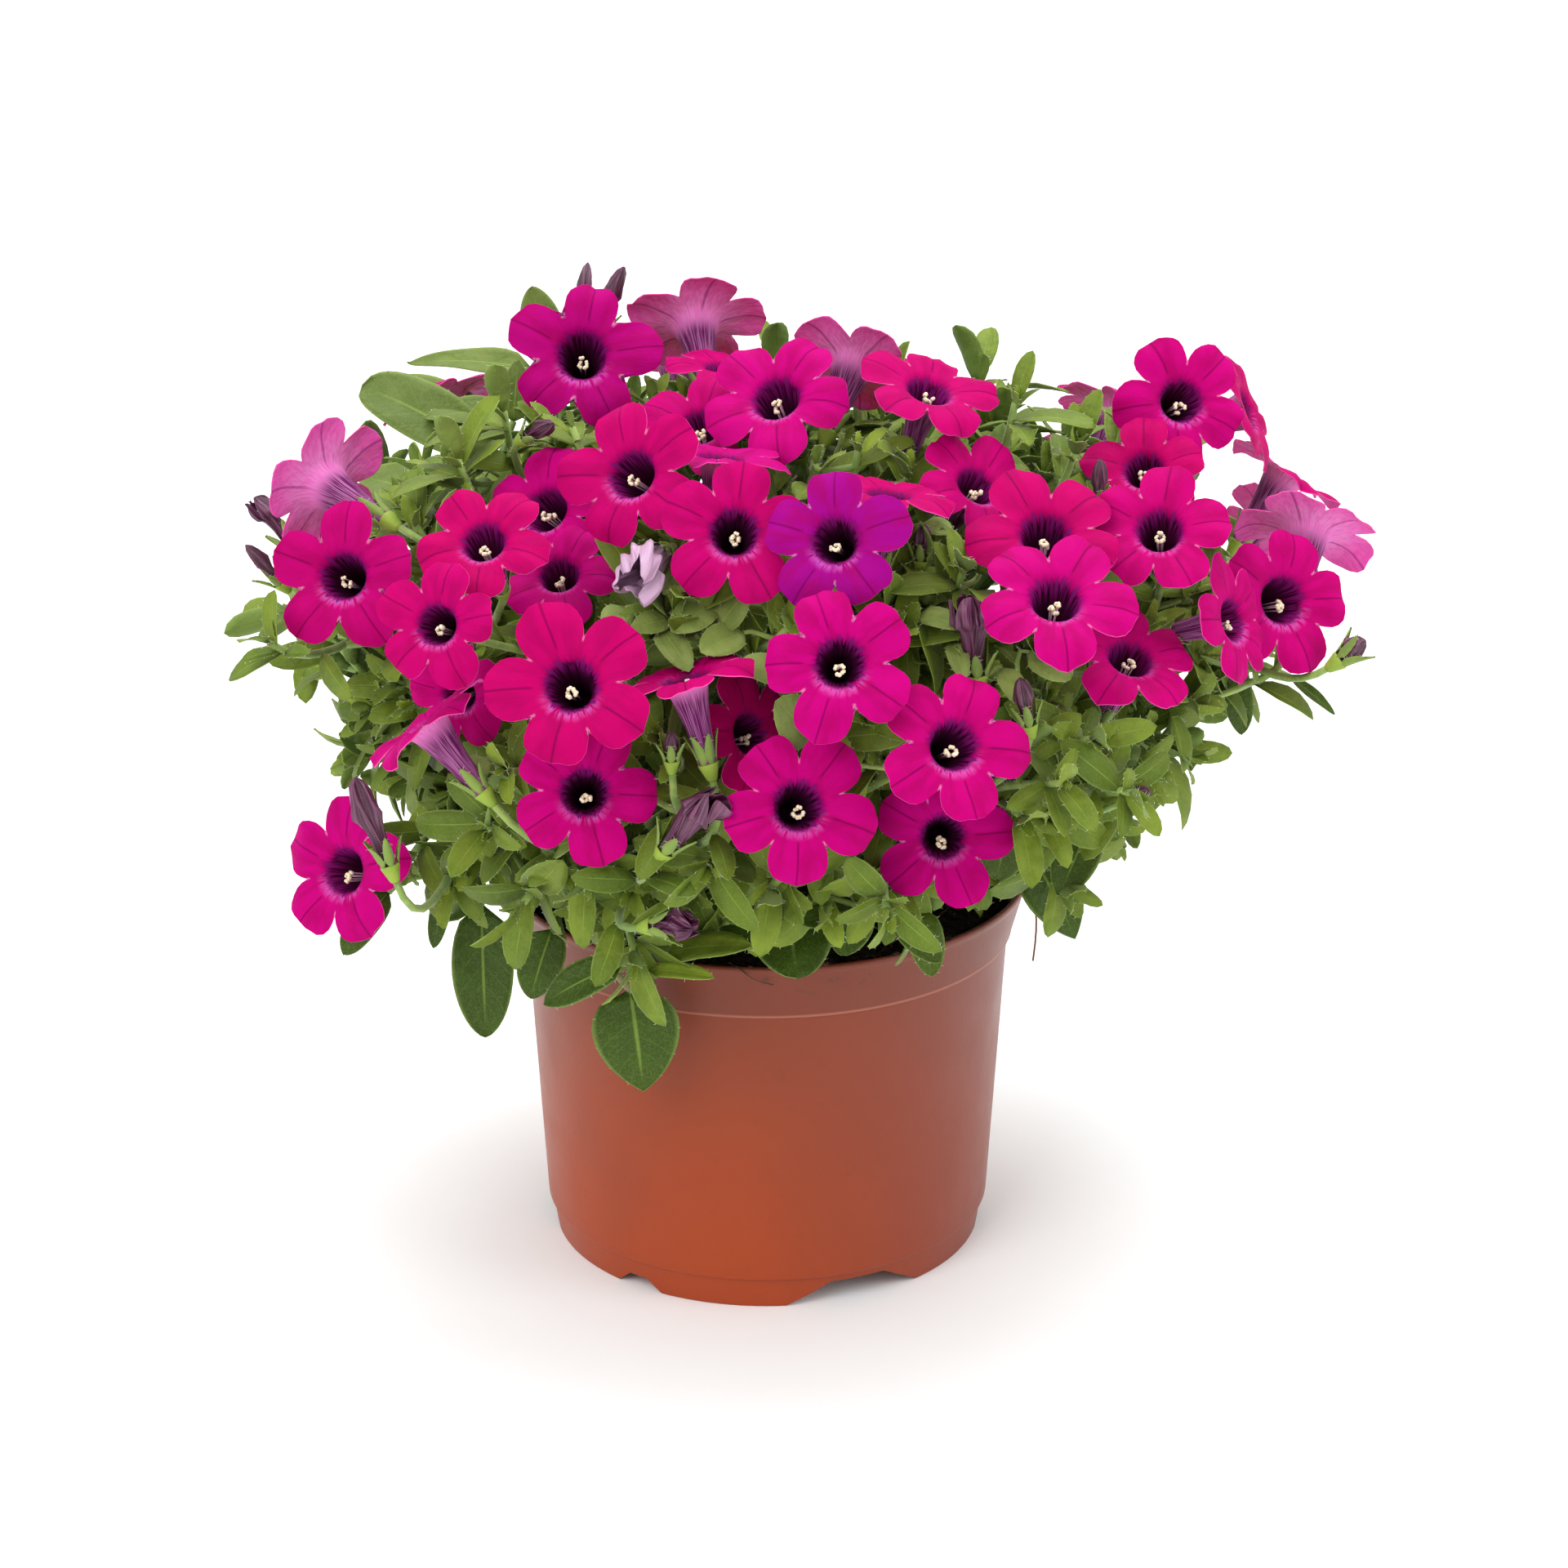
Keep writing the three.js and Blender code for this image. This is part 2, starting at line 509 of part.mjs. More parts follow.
// Large leaves, from the base to the tip as they show, each end with its depth, and the width
const BIG_LEAVES = [
  { base: [772, 1212, -66], tip: [788, 1334, -68], width: 20, bend: 0.5 },
  { base: [590, 1108, -40], tip: [596, 1268, -42], width: 14.5, bend: 0.5 },
  { base: [960, 1092, -52], tip: [975, 1198, -72], width: 20, bend: 0.9 },
  { base: [870, 1150, -74], tip: [925, 1155, -80], width: 8.5, bend: 0.4 },
  { base: [676, 1138, -60], tip: [650, 1222, -66], width: 11, bend: 0.4 },
  { base: [760, 1180, -80], tip: [666, 1228, -78], width: 10, bend: 0.4 },
  { base: [1070, 1112, -82], tip: [980, 1130, -86], width: 8, bend: 0.5 },
  { base: [1100, 1130, -80], tip: [1150, 1178, -86], width: 7.5, bend: 0.5 },
  { base: [1050, 1100, -60], tip: [1030, 1170, -66], width: 11, bend: 0.4 },
  { base: [1262, 1046, -40], tip: [1316, 1150, -46], width: 15, bend: 0.4 },
  { base: [1244, 985, -72], tip: [1220, 1078, -70], width: 12, bend: 0.5 },
  { base: [1340, 1004, -60], tip: [1296, 1098, -64], width: 11, bend: 0.4 },
  { base: [1362, 975, -62], tip: [1266, 985, -66], width: 9, bend: 0.4 },
  { base: [1505, 800, -28], tip: [1522, 900, -30], width: 7.5, bend: 0.5 },
  { base: [1582, 830, -30], tip: [1636, 876, -34], width: 3, bend: 0.3 },
  { base: [396, 788, -6], tip: [460, 832, -14], width: 8.5, bend: 0.4 },
  { base: [476, 1092, -62], tip: [422, 1168, -66], width: 8, bend: 0.4 },
  { base: [548, 1080, -50], tip: [532, 1160, -52], width: 5, bend: 0.3 },
  { base: [604, 560, 50], tip: [442, 468, 58], width: 16, bend: 0.6 },
  { base: [604, 520, 70], tip: [476, 462, 72], width: 12, bend: 0.5 },
  { base: [648, 446, 82], tip: [498, 440, 86], width: 9, bend: 0.5 },
  { base: [556, 620, 30], tip: [440, 580, 40], width: 17, bend: 0.5 },
  { base: [672, 440, 90], tip: [650, 344, 92], width: 11, bend: 0.3 },
  { base: [624, 500, 60], tip: [520, 508, 50], width: 10, bend: 0.4 },
  { base: [628, 512, 50], tip: [634, 436, 50], width: 7.5, bend: 0.3 },
  { base: [860, 1020, -76], tip: [922, 1080, -88], width: 9, bend: 0.5 },
];

// Places
function placed(row) {
  const place = onDome(row.u, row.v, row.out);
  const axis = row.face ? facing(...row.face) : domeNormal(place).lerp(UP, 0.25).normalize();
  return { place, axis, size: row.size, width: row.width };
}

function roundTheMound(turn, rise, out, size) {
  const normal = vec(
    Math.cos(degrees(turn)) * Math.cos(degrees(rise)),
    Math.sin(degrees(turn)) * Math.cos(degrees(rise)),
    Math.sin(degrees(rise)),
  );
  const place = normal.clone().multiply(vec(...DOME.radii)).multiplyScalar(out).add(vec(...DOME.centre));
  return { place, axis: domeNormal(place).lerp(UP, REAR.lift).normalize(), size };
}

const blooms = [
  ...BLOOMS.map(placed),
  ...REAR_BLOOMS.map((row) => ({
    ...roundTheMound(row.turn, row.rise, REAR.bloomsOut, row.size),
    rear: true,
  })),
].map((bloom, index) => {
  const next = randomFrom(SEED.blooms + index);
  const [side, other] = squareTo(bloom.axis, UP);
  const turn = next() * 2 * Math.PI;
  const right = side.clone().multiplyScalar(Math.cos(turn)).addScaledVector(other, Math.sin(turn));
  const [low, high] = BLOOM.droop;
  const droops = Array.from({ length: BLOOM.lobes }, () => next() * (high - low) + low);
  const up = bloom.axis.clone().cross(right);
  const name = `bloom_${String(index + 1).padStart(2, "0")}`;
  return { ...bloom, name, right, up, droops, scale: bloom.size / BLOOM.diameter };
});

const buds = BUDS.map(placed);
const tufts = [
  ...TUFTS.map(placed),
  ...REAR_TUFTS.flatMap((row) =>
    Array.from({ length: row.count }, (_, i) => {
      const turn = row.first + (i * (180 - 2 * row.first)) / (row.count - 1);
      return roundTheMound(turn, row.rise, REAR.tuftsOut, row.size);
    }),
  ),
];

// Blooms
function edgeRadius(turn) {
  const { lobeCentre, lobeRadius } = BLOOM;
  return lobeCentre * Math.cos(turn) + Math.sqrt(lobeRadius ** 2 - (lobeCentre * Math.sin(turn)) ** 2);
}

function bloomPoint(bloom, radius, turn, height) {
  return bloom.place
    .clone()
    .addScaledVector(bloom.right, radius * Math.cos(turn) * bloom.scale)
    .addScaledVector(bloom.up, radius * Math.sin(turn) * bloom.scale)
    .addScaledVector(bloom.axis, height * bloom.scale);
}

// Balls that fill a bloom: how many, at what radius and height, and how large
const BLOOM_BALLS = [
  [1, 0, -32, 1.6],
  [1, 0, -28, 1.8],
  [1, 0, -24, 2.9],
  [1, 0, -21, 2.9],
  [1, 0, -17.5, 3.3],
  [1, 0, -14, 4],
  [1, 0, -10, 4.8],
  [1, 0, -6, 5.5],
  [7, 6.5, -2.4, 2.9],
  [13, 11, -0.7, 2.5],
  [19, 15.3, -0.9, 2.8],
];

const FOOT_BALLS = 3; // the first of them are the room for its calyx and its twig's end

function bloomBalls(bloom) {
  return BLOOM_BALLS.flatMap(([count, radius, height, size]) =>
    Array.from({ length: count }, (_, i) =>
      ballAt(bloomPoint(bloom, radius, (2 * Math.PI * i) / count, height), size * bloom.scale),
    ),
  );
}

function bloomSolid(bloom) {
  const step = (2 * Math.PI) / BLOOM.lobes;
  const ring = (count, radiusAt, height) =>
    Array.from({ length: count }, (_, k) => {
      const turn = (2 * Math.PI * k) / count;
      const lobe = Math.round(turn / step);
      const off = turn - lobe * step;
      const radius = radiusAt(off);
      const outer = THREE.MathUtils.clamp((radius - 8) / 10, 0, 1) ** 2;
      const droop = bloom.droops[lobe % BLOOM.lobes] * outer * Math.cos(off * 2.5) ** 2;
      return bloomPoint(bloom, radius, turn, height + droop);
    });
  return skin([
    [bloomPoint(bloom, 0, 0, -BLOOM.hollowDepth)],
    ring(10, () => BLOOM.faceRadius, -BLOOM.faceDepth),
    ring(20, edgeRadius, 0),
    ring(5, () => BLOOM.throatRadius, -BLOOM.throatDepth),
    ring(5, () => BLOOM.tubeRadius, -BLOOM.tube),
    [bloomPoint(bloom, 0, 0, -BLOOM.tube)],
  ]);
}

// Calyx: the end of a twig is a cup round the foot of the tube, drawn out into five narrow sepals
function calyxOn(twig, bloom) {
  const foot = -BLOOM.tube;
  const inner = BLOOM.tubeRadius + CALYX.slack / bloom.scale;
  const outer = inner + CALYX.wall;
  const ring = (count, radiusAt, heightAt) =>
    Array.from({ length: count }, (_, k) =>
      bloomPoint(bloom, radiusAt(k % 2), (2 * Math.PI * k) / count, heightAt(k % 2)),
    );
  return skin([
    ...twigRings(twig, bloom.right),
    ring(5, () => outer, () => foot - CALYX.base),
    ring(10, (k) => (k === 0 ? CALYX.spread : outer), (k) => foot + (k === 0 ? CALYX.sepal : CALYX.depth)),
    ring(5, () => inner, () => foot - GAP),
    [bloomPoint(bloom, 0, 0, foot - GAP)],
  ]);
}

// Bud: the end of a twig is a spindle with five sides
function budOn(twig, bud) {
  const [side, other] = squareTo(bud.axis, UP);
  const ring = (share, radius) =>
    Array.from({ length: 5 }, (_, k) =>
      bud.place
        .clone()
        .addScaledVector(bud.axis, bud.size * (share - 1))
        .addScaledVector(side, radius * Math.cos((2 * Math.PI * k) / 5))
        .addScaledVector(other, radius * Math.sin((2 * Math.PI * k) / 5)),
    );
  const half = bud.width / 2;
  const rings = [ring(0.2, half * 0.6), ring(0.62, half), ring(0.9, half * 0.6)];
  return skin([...twigRings(twig, UP), ...rings, [bud.place]]);
}

// Leaf: a blade that is bent along its length and folded along its midrib. The chord runs from base to tip.
function leafFrame(base, tip, normal) {
  const along = tip.clone().sub(base);
  const chord = along.length();
  along.divideScalar(chord);
  const upper = normal.clone().addScaledVector(along, -normal.dot(along)).normalize();
  return { base, along, upper, across: along.clone().cross(upper), chord };
}

// A point on the midrib of a leaf at a share of its length, when it is bent through an angle
function ribPoint(leaf, share) {
  const half = leaf.bend / 2;
  const length = (leaf.chord * half) / Math.sin(half);
  const angle = half - leaf.bend * share;
  const radius = length / leaf.bend;
  const x = radius * (Math.sin(half) - Math.sin(angle));
  const z = radius * (Math.cos(angle) - Math.cos(half));
  return leaf.base.clone().addScaledVector(leaf.along, x).addScaledVector(leaf.upper, z);
}

function leafRings(leaf, stations) {
  const rings = stations.map(([share, width]) => {
    const rib = ribPoint(leaf, share);
    const half = (leaf.width * width) / 2;
    const at = (x, z) => rib.clone().addScaledVector(leaf.across, x).addScaledVector(leaf.upper, z);
    return [at(-half, LEAF.keel), at(half, LEAF.keel), at(0, LEAF.keel - LEAF.thickness)];
  });
  return [...rings, [ribPoint(leaf, 1)]];
}

// A leaf that ends a twig is one blade with it. Any other has its root in a twig.
function leafOn(twig, leaf, stations) {
  return skin([...twigRings(twig, leaf.across.clone().negate(), Math.PI / 6), ...leafRings(leaf, stations)]);
}

function leafAlone(leaf, stations) {
  return skin([[leaf.base], ...leafRings(leaf, stations)]);
}

const SMALL_STATIONS = [
  [0.3, 0.62],
  [0.7, 1],
];
const BIG_STATIONS = [
  [0.16, 0.46],
  [0.45, 1],
  [0.76, 0.8],
];

function leafBalls(leaf) {
  const radius = Math.max(leaf.width * 0.34, 1.2);
  return [0.3, 0.52, 0.74, 0.95].map((share) => ballAt(ribPoint(leaf, share), radius));
}

// Twigs: each leaves a stem where it can reach its end clear of everything else
const ATTACH = {
  shares: [0.2, 0.7], // places on each length of a stem
  tries: 110,
  bends: [0, 8, -8, 16, -16, 26, -26],
  free: 3, // balls at its root that count as the stem's
  turned: 14, // cost of a twig that has to turn back
  hanging: 0.8,
  shortest: 6,
  tooShort: 40,
  length: 20, // of one straight piece
};
const blocked = [];

function twigTo(name, end, heading, owners) {
  const options = STEMS.flatMap((stem) =>
    stem.line.slice(2).flatMap((knot, k) =>
      ATTACH.shares.map((share) => {
        const from = stem.line[k + 1].clone().lerp(knot, share);
        const reach = from.distanceTo(end);
        const behind = heading.dot(end.clone().sub(from).divideScalar(reach));
        const hanging = ATTACH.hanging * Math.max(0, from.z - end.z);
        const tooShort = reach < ATTACH.shortest ? ATTACH.tooShort : 0;
        const cost = reach + ATTACH.turned * (1 - behind) + hanging + tooShort;
        return { stem, from, reach, cost };
      }),
    ),
  ).sort((a, b) => a.cost - b.cost);
  const [side] = squareTo(heading, UP.clone().cross(heading));
  for (const { stem, from, reach } of options.slice(0, ATTACH.tries)) {
    const near = (ball) => from.distanceTo(ball) < reach + ROOM.nearby;
    const others = othersThan([stem.name, ...owners]).filter(near);
    for (const bend of ATTACH.bends) {
      const start = from.clone().lerp(end, 0.35).addScaledVector(side, bend);
      start.addScaledVector(UP, -0.06 * reach);
      const finish = end.clone().addScaledVector(heading, -0.38 * reach).addScaledVector(side, bend * 0.4);
      const steps = THREE.MathUtils.clamp(Math.round(reach / ATTACH.length), 1, 3);
      const line = curvePoints([from, start, finish, end], steps);
      const balls = ballsAlong(line, STEM.twigRadius + ROOM.skin);
      if (!isClear(balls, others)) continue;
      note(balls.slice(0, ATTACH.free), stem.name);
      note(balls.slice(ATTACH.free), name);
      return { stem, line };
    }
  }
  blocked.push(name);
  return null;
}

// Growing the plant. Blooms that would touch are first moved apart along the line of sight.
function deepest(someBalls, otherBalls) {
  let depth = 0;
  for (const a of someBalls) for (const b of otherBalls) depth = Math.max(depth, depthOf(a, b));
  return depth;
}

for (let pass = 0; pass < SPREAD.passes; pass += 1) {
  const filled = blooms.map(bloomBalls);
  blooms.forEach((near, i) => {
    blooms.forEach((far, j) => {
      if (near.place.distanceTo(far.place) > SPREAD.reach) return;
      if (i === j || near.place.dot(toCamera) < far.place.dot(toCamera)) return;
      const push = deepest(filled[i], filled[j]) * SPREAD.share;
      near.place.addScaledVector(toCamera, push);
      far.place.addScaledVector(toCamera, -push);
    });
  });
}

const stemLine = vec(0.3, 1, 0.1);
STEMS.forEach((stem) => {
  note(ballsAlong(stem.line, STEM.rootRadius), stem.name);
  const rings = ringsAlong(stem.line, stemRadius, STEM.sides, stemLine);
  stem.parts.push(skin([[stem.line[0]], ...rings, [stem.line.at(-1)]]));
});
blooms.forEach((bloom) => {
  const balls = bloomBalls(bloom);
  note(balls.slice(0, FOOT_BALLS), `foot of ${bloom.name}`);
  note(balls.slice(FOOT_BALLS), bloom.name);
});
blooms.forEach((bloom) => {
  const end = bloomPoint(bloom, 0, 0, -BLOOM.tube - CALYX.foot);
  const twig = twigTo(`twig of ${bloom.name}`, end, bloom.axis, [`foot of ${bloom.name}`]);
  if (!twig) return;
  twig.stem.parts.push(calyxOn(twig, bloom));
  bloom.stem = twig.stem;
});
buds.forEach((bud, index) => {
  const end = bud.place.clone().addScaledVector(bud.axis, -bud.size);
  const own = `bud ${index + 1}`;
  const twig = twigTo(own, end, bud.axis, []);
  if (!twig) return;
  note(ballsAlong([end, bud.place], bud.width * 0.5), own);
  twig.stem.parts.push(budOn(twig, bud));
});

const leaves = [];
BIG_LEAVES.forEach((row, index) => {
  const [base, tip] = [atDepth(...row.base), atDepth(...row.tip)];
  const normal = toCamera.clone().lerp(UP, 0.45).normalize();
  const leaf = { ...leafFrame(base, tip, normal), width: row.width, bend: row.bend };
  const heading = ribPoint(leaf, 0.1).sub(base).normalize();
  const own = `big leaf ${index + 1}`;
  const twig = twigTo(own, base, heading, []);
  if (!twig) return;
  note(leafBalls(leaf), own);
  leaves.push({ stem: twig.stem, solid: leafOn(twig, leaf, BIG_STATIONS) });
});

// A tuft's first leaf ends its twig, and the others turn round it. Each of them is tried at a few turns, and
// left out where none is clear.
tufts.forEach((tuft, index) => {
  const own = `tuft ${index + 1}`;
  const twig = twigTo(own, tuft.place, tuft.axis, []);
  if (!twig) return;
  const others = othersThan([own]);
  const next = randomFrom(SEED.tufts + index);
  const [side, other] = squareTo(tuft.axis, UP);
  const start = next() * 2 * Math.PI;
  let rooted = false;
  for (let i = 0; i < TUFT.leaves; i += 1) {
    const share = i / (TUFT.leaves - 1);
    const full = TUFT.firstLength + (1 - TUFT.firstLength) * share;
    const length = tuft.size * full * (0.9 + 0.2 * next());
    const lean = TUFT.steep + (TUFT.flat - TUFT.steep) * share + 0.3 * (next() - 0.5);
    const base = tuft.place.clone().addScaledVector(tuft.axis, -TUFT.step * i);
    const wobble = 0.6 * (next() - 0.5);
    for (let attempt = 0; attempt < TUFT.attempts; attempt += 1) {
      const nudge = TUFT.nudge * (attempt % 2 ? 1 : -1) * Math.ceil(attempt / 2);
      const turn = start + i * TUFT.turn + wobble + nudge;
      const radial = side.clone().multiplyScalar(Math.cos(turn)).addScaledVector(other, Math.sin(turn));
      const along = tuft.axis.clone().multiplyScalar(Math.cos(lean)).addScaledVector(radial, Math.sin(lean));
      const upper = tuft.axis.clone().multiplyScalar(Math.sin(lean)).addScaledVector(radial, -Math.cos(lean));
      const size = length * (1 - TUFT.shrink * attempt);
      const frame = leafFrame(base, base.clone().addScaledVector(along, size), upper);
      const leaf = { ...frame, width: size * TUFT.slimness, bend: TUFT.arch };
      if (!isClear(leafBalls(leaf), others)) continue;
      note(leafBalls(leaf), own);
      const solid = rooted ? leafAlone(leaf, SMALL_STATIONS) : leafOn(twig, leaf, SMALL_STATIONS);
      leaves.push({ stem: twig.stem, solid });
      rooted = true;
      break;
    }
  }
});

if (blocked.length > 0) throw new Error(`no clear way for the twig of ${blocked.join(", ")}`);

// Bodies. A rear bloom is one body with its stem. A leaf that still meets another body is left out.
const pot = makePot();
const soil = makeSoil(STEMS);
blooms.forEach((bloom) => {
  bloom.solid = bloomSolid(bloom);
  if (!bloom.rear) return;
  const foot = REAR.plug.map((height) => bloomPoint(bloom, 0, 0, height - BLOOM.tube));
  const plug = skin([[foot[0]], ...ringsAlong(foot, () => REAR.plugRadius, 3, bloom.right), [foot[1]]]);
  bloom.stem?.parts.push(bloom.solid, plug);
});
const frontBlooms = blooms.filter((bloom) => !bloom.rear);
STEMS.forEach((stem) => {
  stem.frame = joined(stem.parts);
});
const kept = [];
leaves.forEach((leaf) => {
  const others = STEMS.filter((stem) => stem !== leaf.stem).map((stem) => stem.frame);
  const near = kept.filter((other) => other.stem !== leaf.stem).map((other) => other.solid);
  const bodies = [pot, soil, ...frontBlooms.map((bloom) => bloom.solid), ...others, ...near];
  if (bodies.every((solid) => overlap(leaf.solid, solid) === 0)) kept.push(leaf);
});
STEMS.forEach((stem) => {
  const own = kept.filter((leaf) => leaf.stem === stem).map((leaf) => leaf.solid);
  stem.solid = joined([stem.frame, ...own]);
});

// Scene
const COLOURS = {
  pot: { color: 0x9d4a2f, roughness: 0.45 },
  soil: { color: 0x2a1d15, roughness: 1 },
  stem: { color: 0x4c7a2c, roughness: 0.7 },
  bloom: { color: 0xd4006f, roughness: 0.6 },
};

function addNode(group, name, solid, look) {
  const material = new THREE.MeshStandardMaterial({ ...look, metalness: 0 });
  const mesh = new THREE.Mesh(toGeometry(solid), material);
  mesh.name = name;
  group.add(mesh);
}

const plant = new THREE.Group();
addNode(plant, "pot", pot, COLOURS.pot);
addNode(plant, "soil", soil, COLOURS.soil);
STEMS.forEach((stem) => addNode(plant, `stem_${stem.name}`, stem.solid, COLOURS.stem));
frontBlooms.forEach((bloom) => {
  addNode(plant, bloom.name, bloom.solid, COLOURS.bloom);
});

export default plant;
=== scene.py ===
import math
from collections import namedtuple

import bmesh
import bpy
import numpy as np
from mathutils import Matrix, Vector, noise


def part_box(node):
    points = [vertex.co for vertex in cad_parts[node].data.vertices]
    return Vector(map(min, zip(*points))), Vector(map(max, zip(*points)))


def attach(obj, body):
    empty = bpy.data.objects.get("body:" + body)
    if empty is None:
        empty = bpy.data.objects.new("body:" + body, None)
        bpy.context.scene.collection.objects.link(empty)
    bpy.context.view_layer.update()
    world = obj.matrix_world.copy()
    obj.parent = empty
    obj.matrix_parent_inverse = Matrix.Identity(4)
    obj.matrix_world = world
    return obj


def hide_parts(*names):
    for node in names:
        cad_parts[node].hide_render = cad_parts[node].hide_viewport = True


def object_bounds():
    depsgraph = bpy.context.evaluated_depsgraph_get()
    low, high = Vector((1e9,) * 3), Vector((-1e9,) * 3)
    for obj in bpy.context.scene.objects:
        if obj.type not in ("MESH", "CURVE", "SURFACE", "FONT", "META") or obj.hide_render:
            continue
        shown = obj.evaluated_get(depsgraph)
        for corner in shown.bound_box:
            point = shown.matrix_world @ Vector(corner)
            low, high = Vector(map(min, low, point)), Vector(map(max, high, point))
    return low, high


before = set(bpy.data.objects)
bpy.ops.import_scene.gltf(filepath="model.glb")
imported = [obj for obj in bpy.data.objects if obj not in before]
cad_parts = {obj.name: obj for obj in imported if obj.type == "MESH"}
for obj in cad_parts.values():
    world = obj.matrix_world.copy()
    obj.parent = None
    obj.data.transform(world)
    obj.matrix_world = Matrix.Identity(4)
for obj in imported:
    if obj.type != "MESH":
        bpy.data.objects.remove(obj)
cad_low, cad_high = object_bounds()

# Camera
# The photograph was taken with a long lens from about a metre away, looking down on the plant. The part's
# source was planned from the same place, so a place in the picture is the same in both.
MM = 0.001  # the plant is planned in millimetres, as in the part's source
PICTURE = 1920  # the width and height of the photograph in pixels
TILT = math.radians(24)
TO_CAMERA = np.array([0, -math.cos(TILT), math.sin(TILT)])
PICTURE_UP = np.array([0, math.sin(TILT), math.cos(TILT)])
PICTURE_RIGHT = np.array([1.0, 0, 0])
TARGET_HEIGHT, DISTANCE = 50, 1000
CAMERA = np.array([0, 0, TARGET_HEIGHT]) + DISTANCE * TO_CAMERA
FOCAL, TARGET_U, TARGET_V = 4830, 939, 1260  # in the photograph's pixels


def sight_line(u, v):
    """The way from the camera to what shows at u, v in the picture"""
    right, up = (u - TARGET_U) / FOCAL, (TARGET_V - v) / FOCAL
    return -TO_CAMERA + PICTURE_RIGHT * right + PICTURE_UP * up


def added(name, data):
    """An object in the scene that shows a mesh, a light or a camera"""
    made = bpy.data.objects.new(name, data)
    bpy.context.collection.objects.link(made)
    return made


middle = Vector(sight_line(PICTURE / 2, PICTURE / 2))
camera = added("camera", bpy.data.cameras.new("camera"))
camera.location = CAMERA * MM
camera.rotation_euler = middle.to_track_quat("-Z", "Y").to_euler()
camera.data.sensor_fit = "HORIZONTAL"
camera.data.lens = camera.data.sensor_width * FOCAL * middle.length / PICTURE
bpy.context.scene.camera = camera
bpy.context.scene.view_settings.view_transform = "Standard"

# Studio
# A plain white floor that runs out of the picture, lit by large soft lights from the left, from above and
# more weakly from the right, and by an even white sky. None of it is part of the object.
FLOOR_REACH = 40
FLOOR_WHITE = (0.943, 0.953, 0.953, 1)
LIT_PLACE = Vector((0, 0, 0.12))
LIGHTS = [  # name, place, width, power
    ("key", (-0.75, -1.15, 1.15), 0.9, 12),
    ("overhead", (0.1, 0.25, 1.5), 1.2, 17),
    ("side", (1.3, -0.5, 0.7), 0.7, 5),
]
SKY_STRENGTH = 0.93


def finish_of(name, **constants):
    """A material. The constants go straight on its shader's sockets."""
    material = bpy.data.materials.new(name)
    material.use_nodes = True
    shader = material.node_tree.nodes["Principled BSDF"]
    for socket, value in constants.items():
        shader.inputs[socket.replace("_", " ")].default_value = value
    return material


def mesh_of(shape, name):
    """A smooth mesh from a bmesh that isn't needed any more"""
    mesh = bpy.data.meshes.new(name)
    shape.to_mesh(mesh)
    shape.free()
    mesh.shade_smooth()
    return mesh


floor_shape = bmesh.new()
bmesh.ops.create_grid(floor_shape, x_segments=2, y_segments=2, size=FLOOR_REACH)
floor = added("floor", mesh_of(floor_shape, "floor"))
floor.data.materials.append(finish_of("floor_white", Base_Color=FLOOR_WHITE, Roughness=0.9))
for name, place, width, power in LIGHTS:
    light = added(name, bpy.data.lights.new(name, "AREA"))
    light.data.size = width
    light.data.energy = power
    light.location = place
    light.rotation_euler = (LIT_PLACE - Vector(place)).to_track_quat("-Z", "Y").to_euler()
world = bpy.data.worlds.new("studio")
bpy.context.scene.world = world
world.use_nodes = True
sky = world.node_tree.nodes["Background"]
sky.inputs["Color"].default_value = (1, 1, 1, 1)
sky.inputs["Strength"].default_value = SKY_STRENGTH

# Pot
# A thin nursery pot, formed in one piece from plastic sheet that is brick brown outside and black inside.
# It has a wider collar with a rolled lip, and a foot ring with wide and narrow notches that drain it.
# Light and shade are painted into its brown: more orange low down, darker higher up and on the collar,
# mauve towards the right as a painted reflection, and a painted highlight along the collar's step.
pot_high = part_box("pot")[1]
RIM, POT_HEIGHT = pot_high.x / MM, pot_high.z / MM
WALL, LIP = 1.5, 1.3
COLLAR_FOOT, COLLAR_STEP = 79.6, 1.1
BODY_TOP, BODY_FOOT = 60, 55.8
FOOT_RADIUS, FOOT_HEIGHT, FOOT_WIDTH = 53.8, 7.6, 1.9
FLOOR_UNDERSIDE, FLOOR_TOP = 3.8, 5.6
POT_STEPS, SHARP_ANGLE = 144, math.radians(38)
NOTCHES, FIRST_NOTCH, NOTCH_INNER, NOTCH_SPARE = 6, -36, 47, 4
WIDE_NOTCH = (19, 7, 6.1)  # half width at its foot, half width at its top, height
NARROW_NOTCH = (7.5, 2.5, 3.4)


def softened(corners):
    """A profile with its corners rounded. A corner is a radius, a height and how far its curve reaches."""
    points = [np.array(corners[0][:2])]
    for before, here, after in zip(corners, corners[1:], corners[2:]):
        corner = np.array(here[:2])
        ways = [np.array(other[:2]) - corner for other in (before, after)]
        start, end = (corner + way * min(here[2] / math.hypot(*way), 0.5) for way in ways)
        for t in (0, 0.25, 0.5, 0.75, 1):
            points.append((1 - t) ** 2 * start + 2 * t * (1 - t) * corner + t * t * end)
    return [*points, np.array(corners[-1][:2])]


def turned(profile, steps):
    """A closed shape turned round the pot's axis from a profile that starts and ends on it"""
    shape = bmesh.new()
    line = [shape.verts.new((r * MM, 0, z * MM)) for r, z in profile]
    edges = [shape.edges.new(pair) for pair in zip(line, line[1:])]
    whole = {"angle": 2 * math.pi, "steps": steps, "use_merge": True}
    bmesh.ops.spin(shape, geom=line + edges, cent=(0, 0, 0), axis=(0, 0, 1), **whole)
    bmesh.ops.remove_doubles(shape, verts=shape.verts, dist=0.02 * MM)
    bmesh.ops.recalc_face_normals(shape, faces=shape.faces)
    return shape


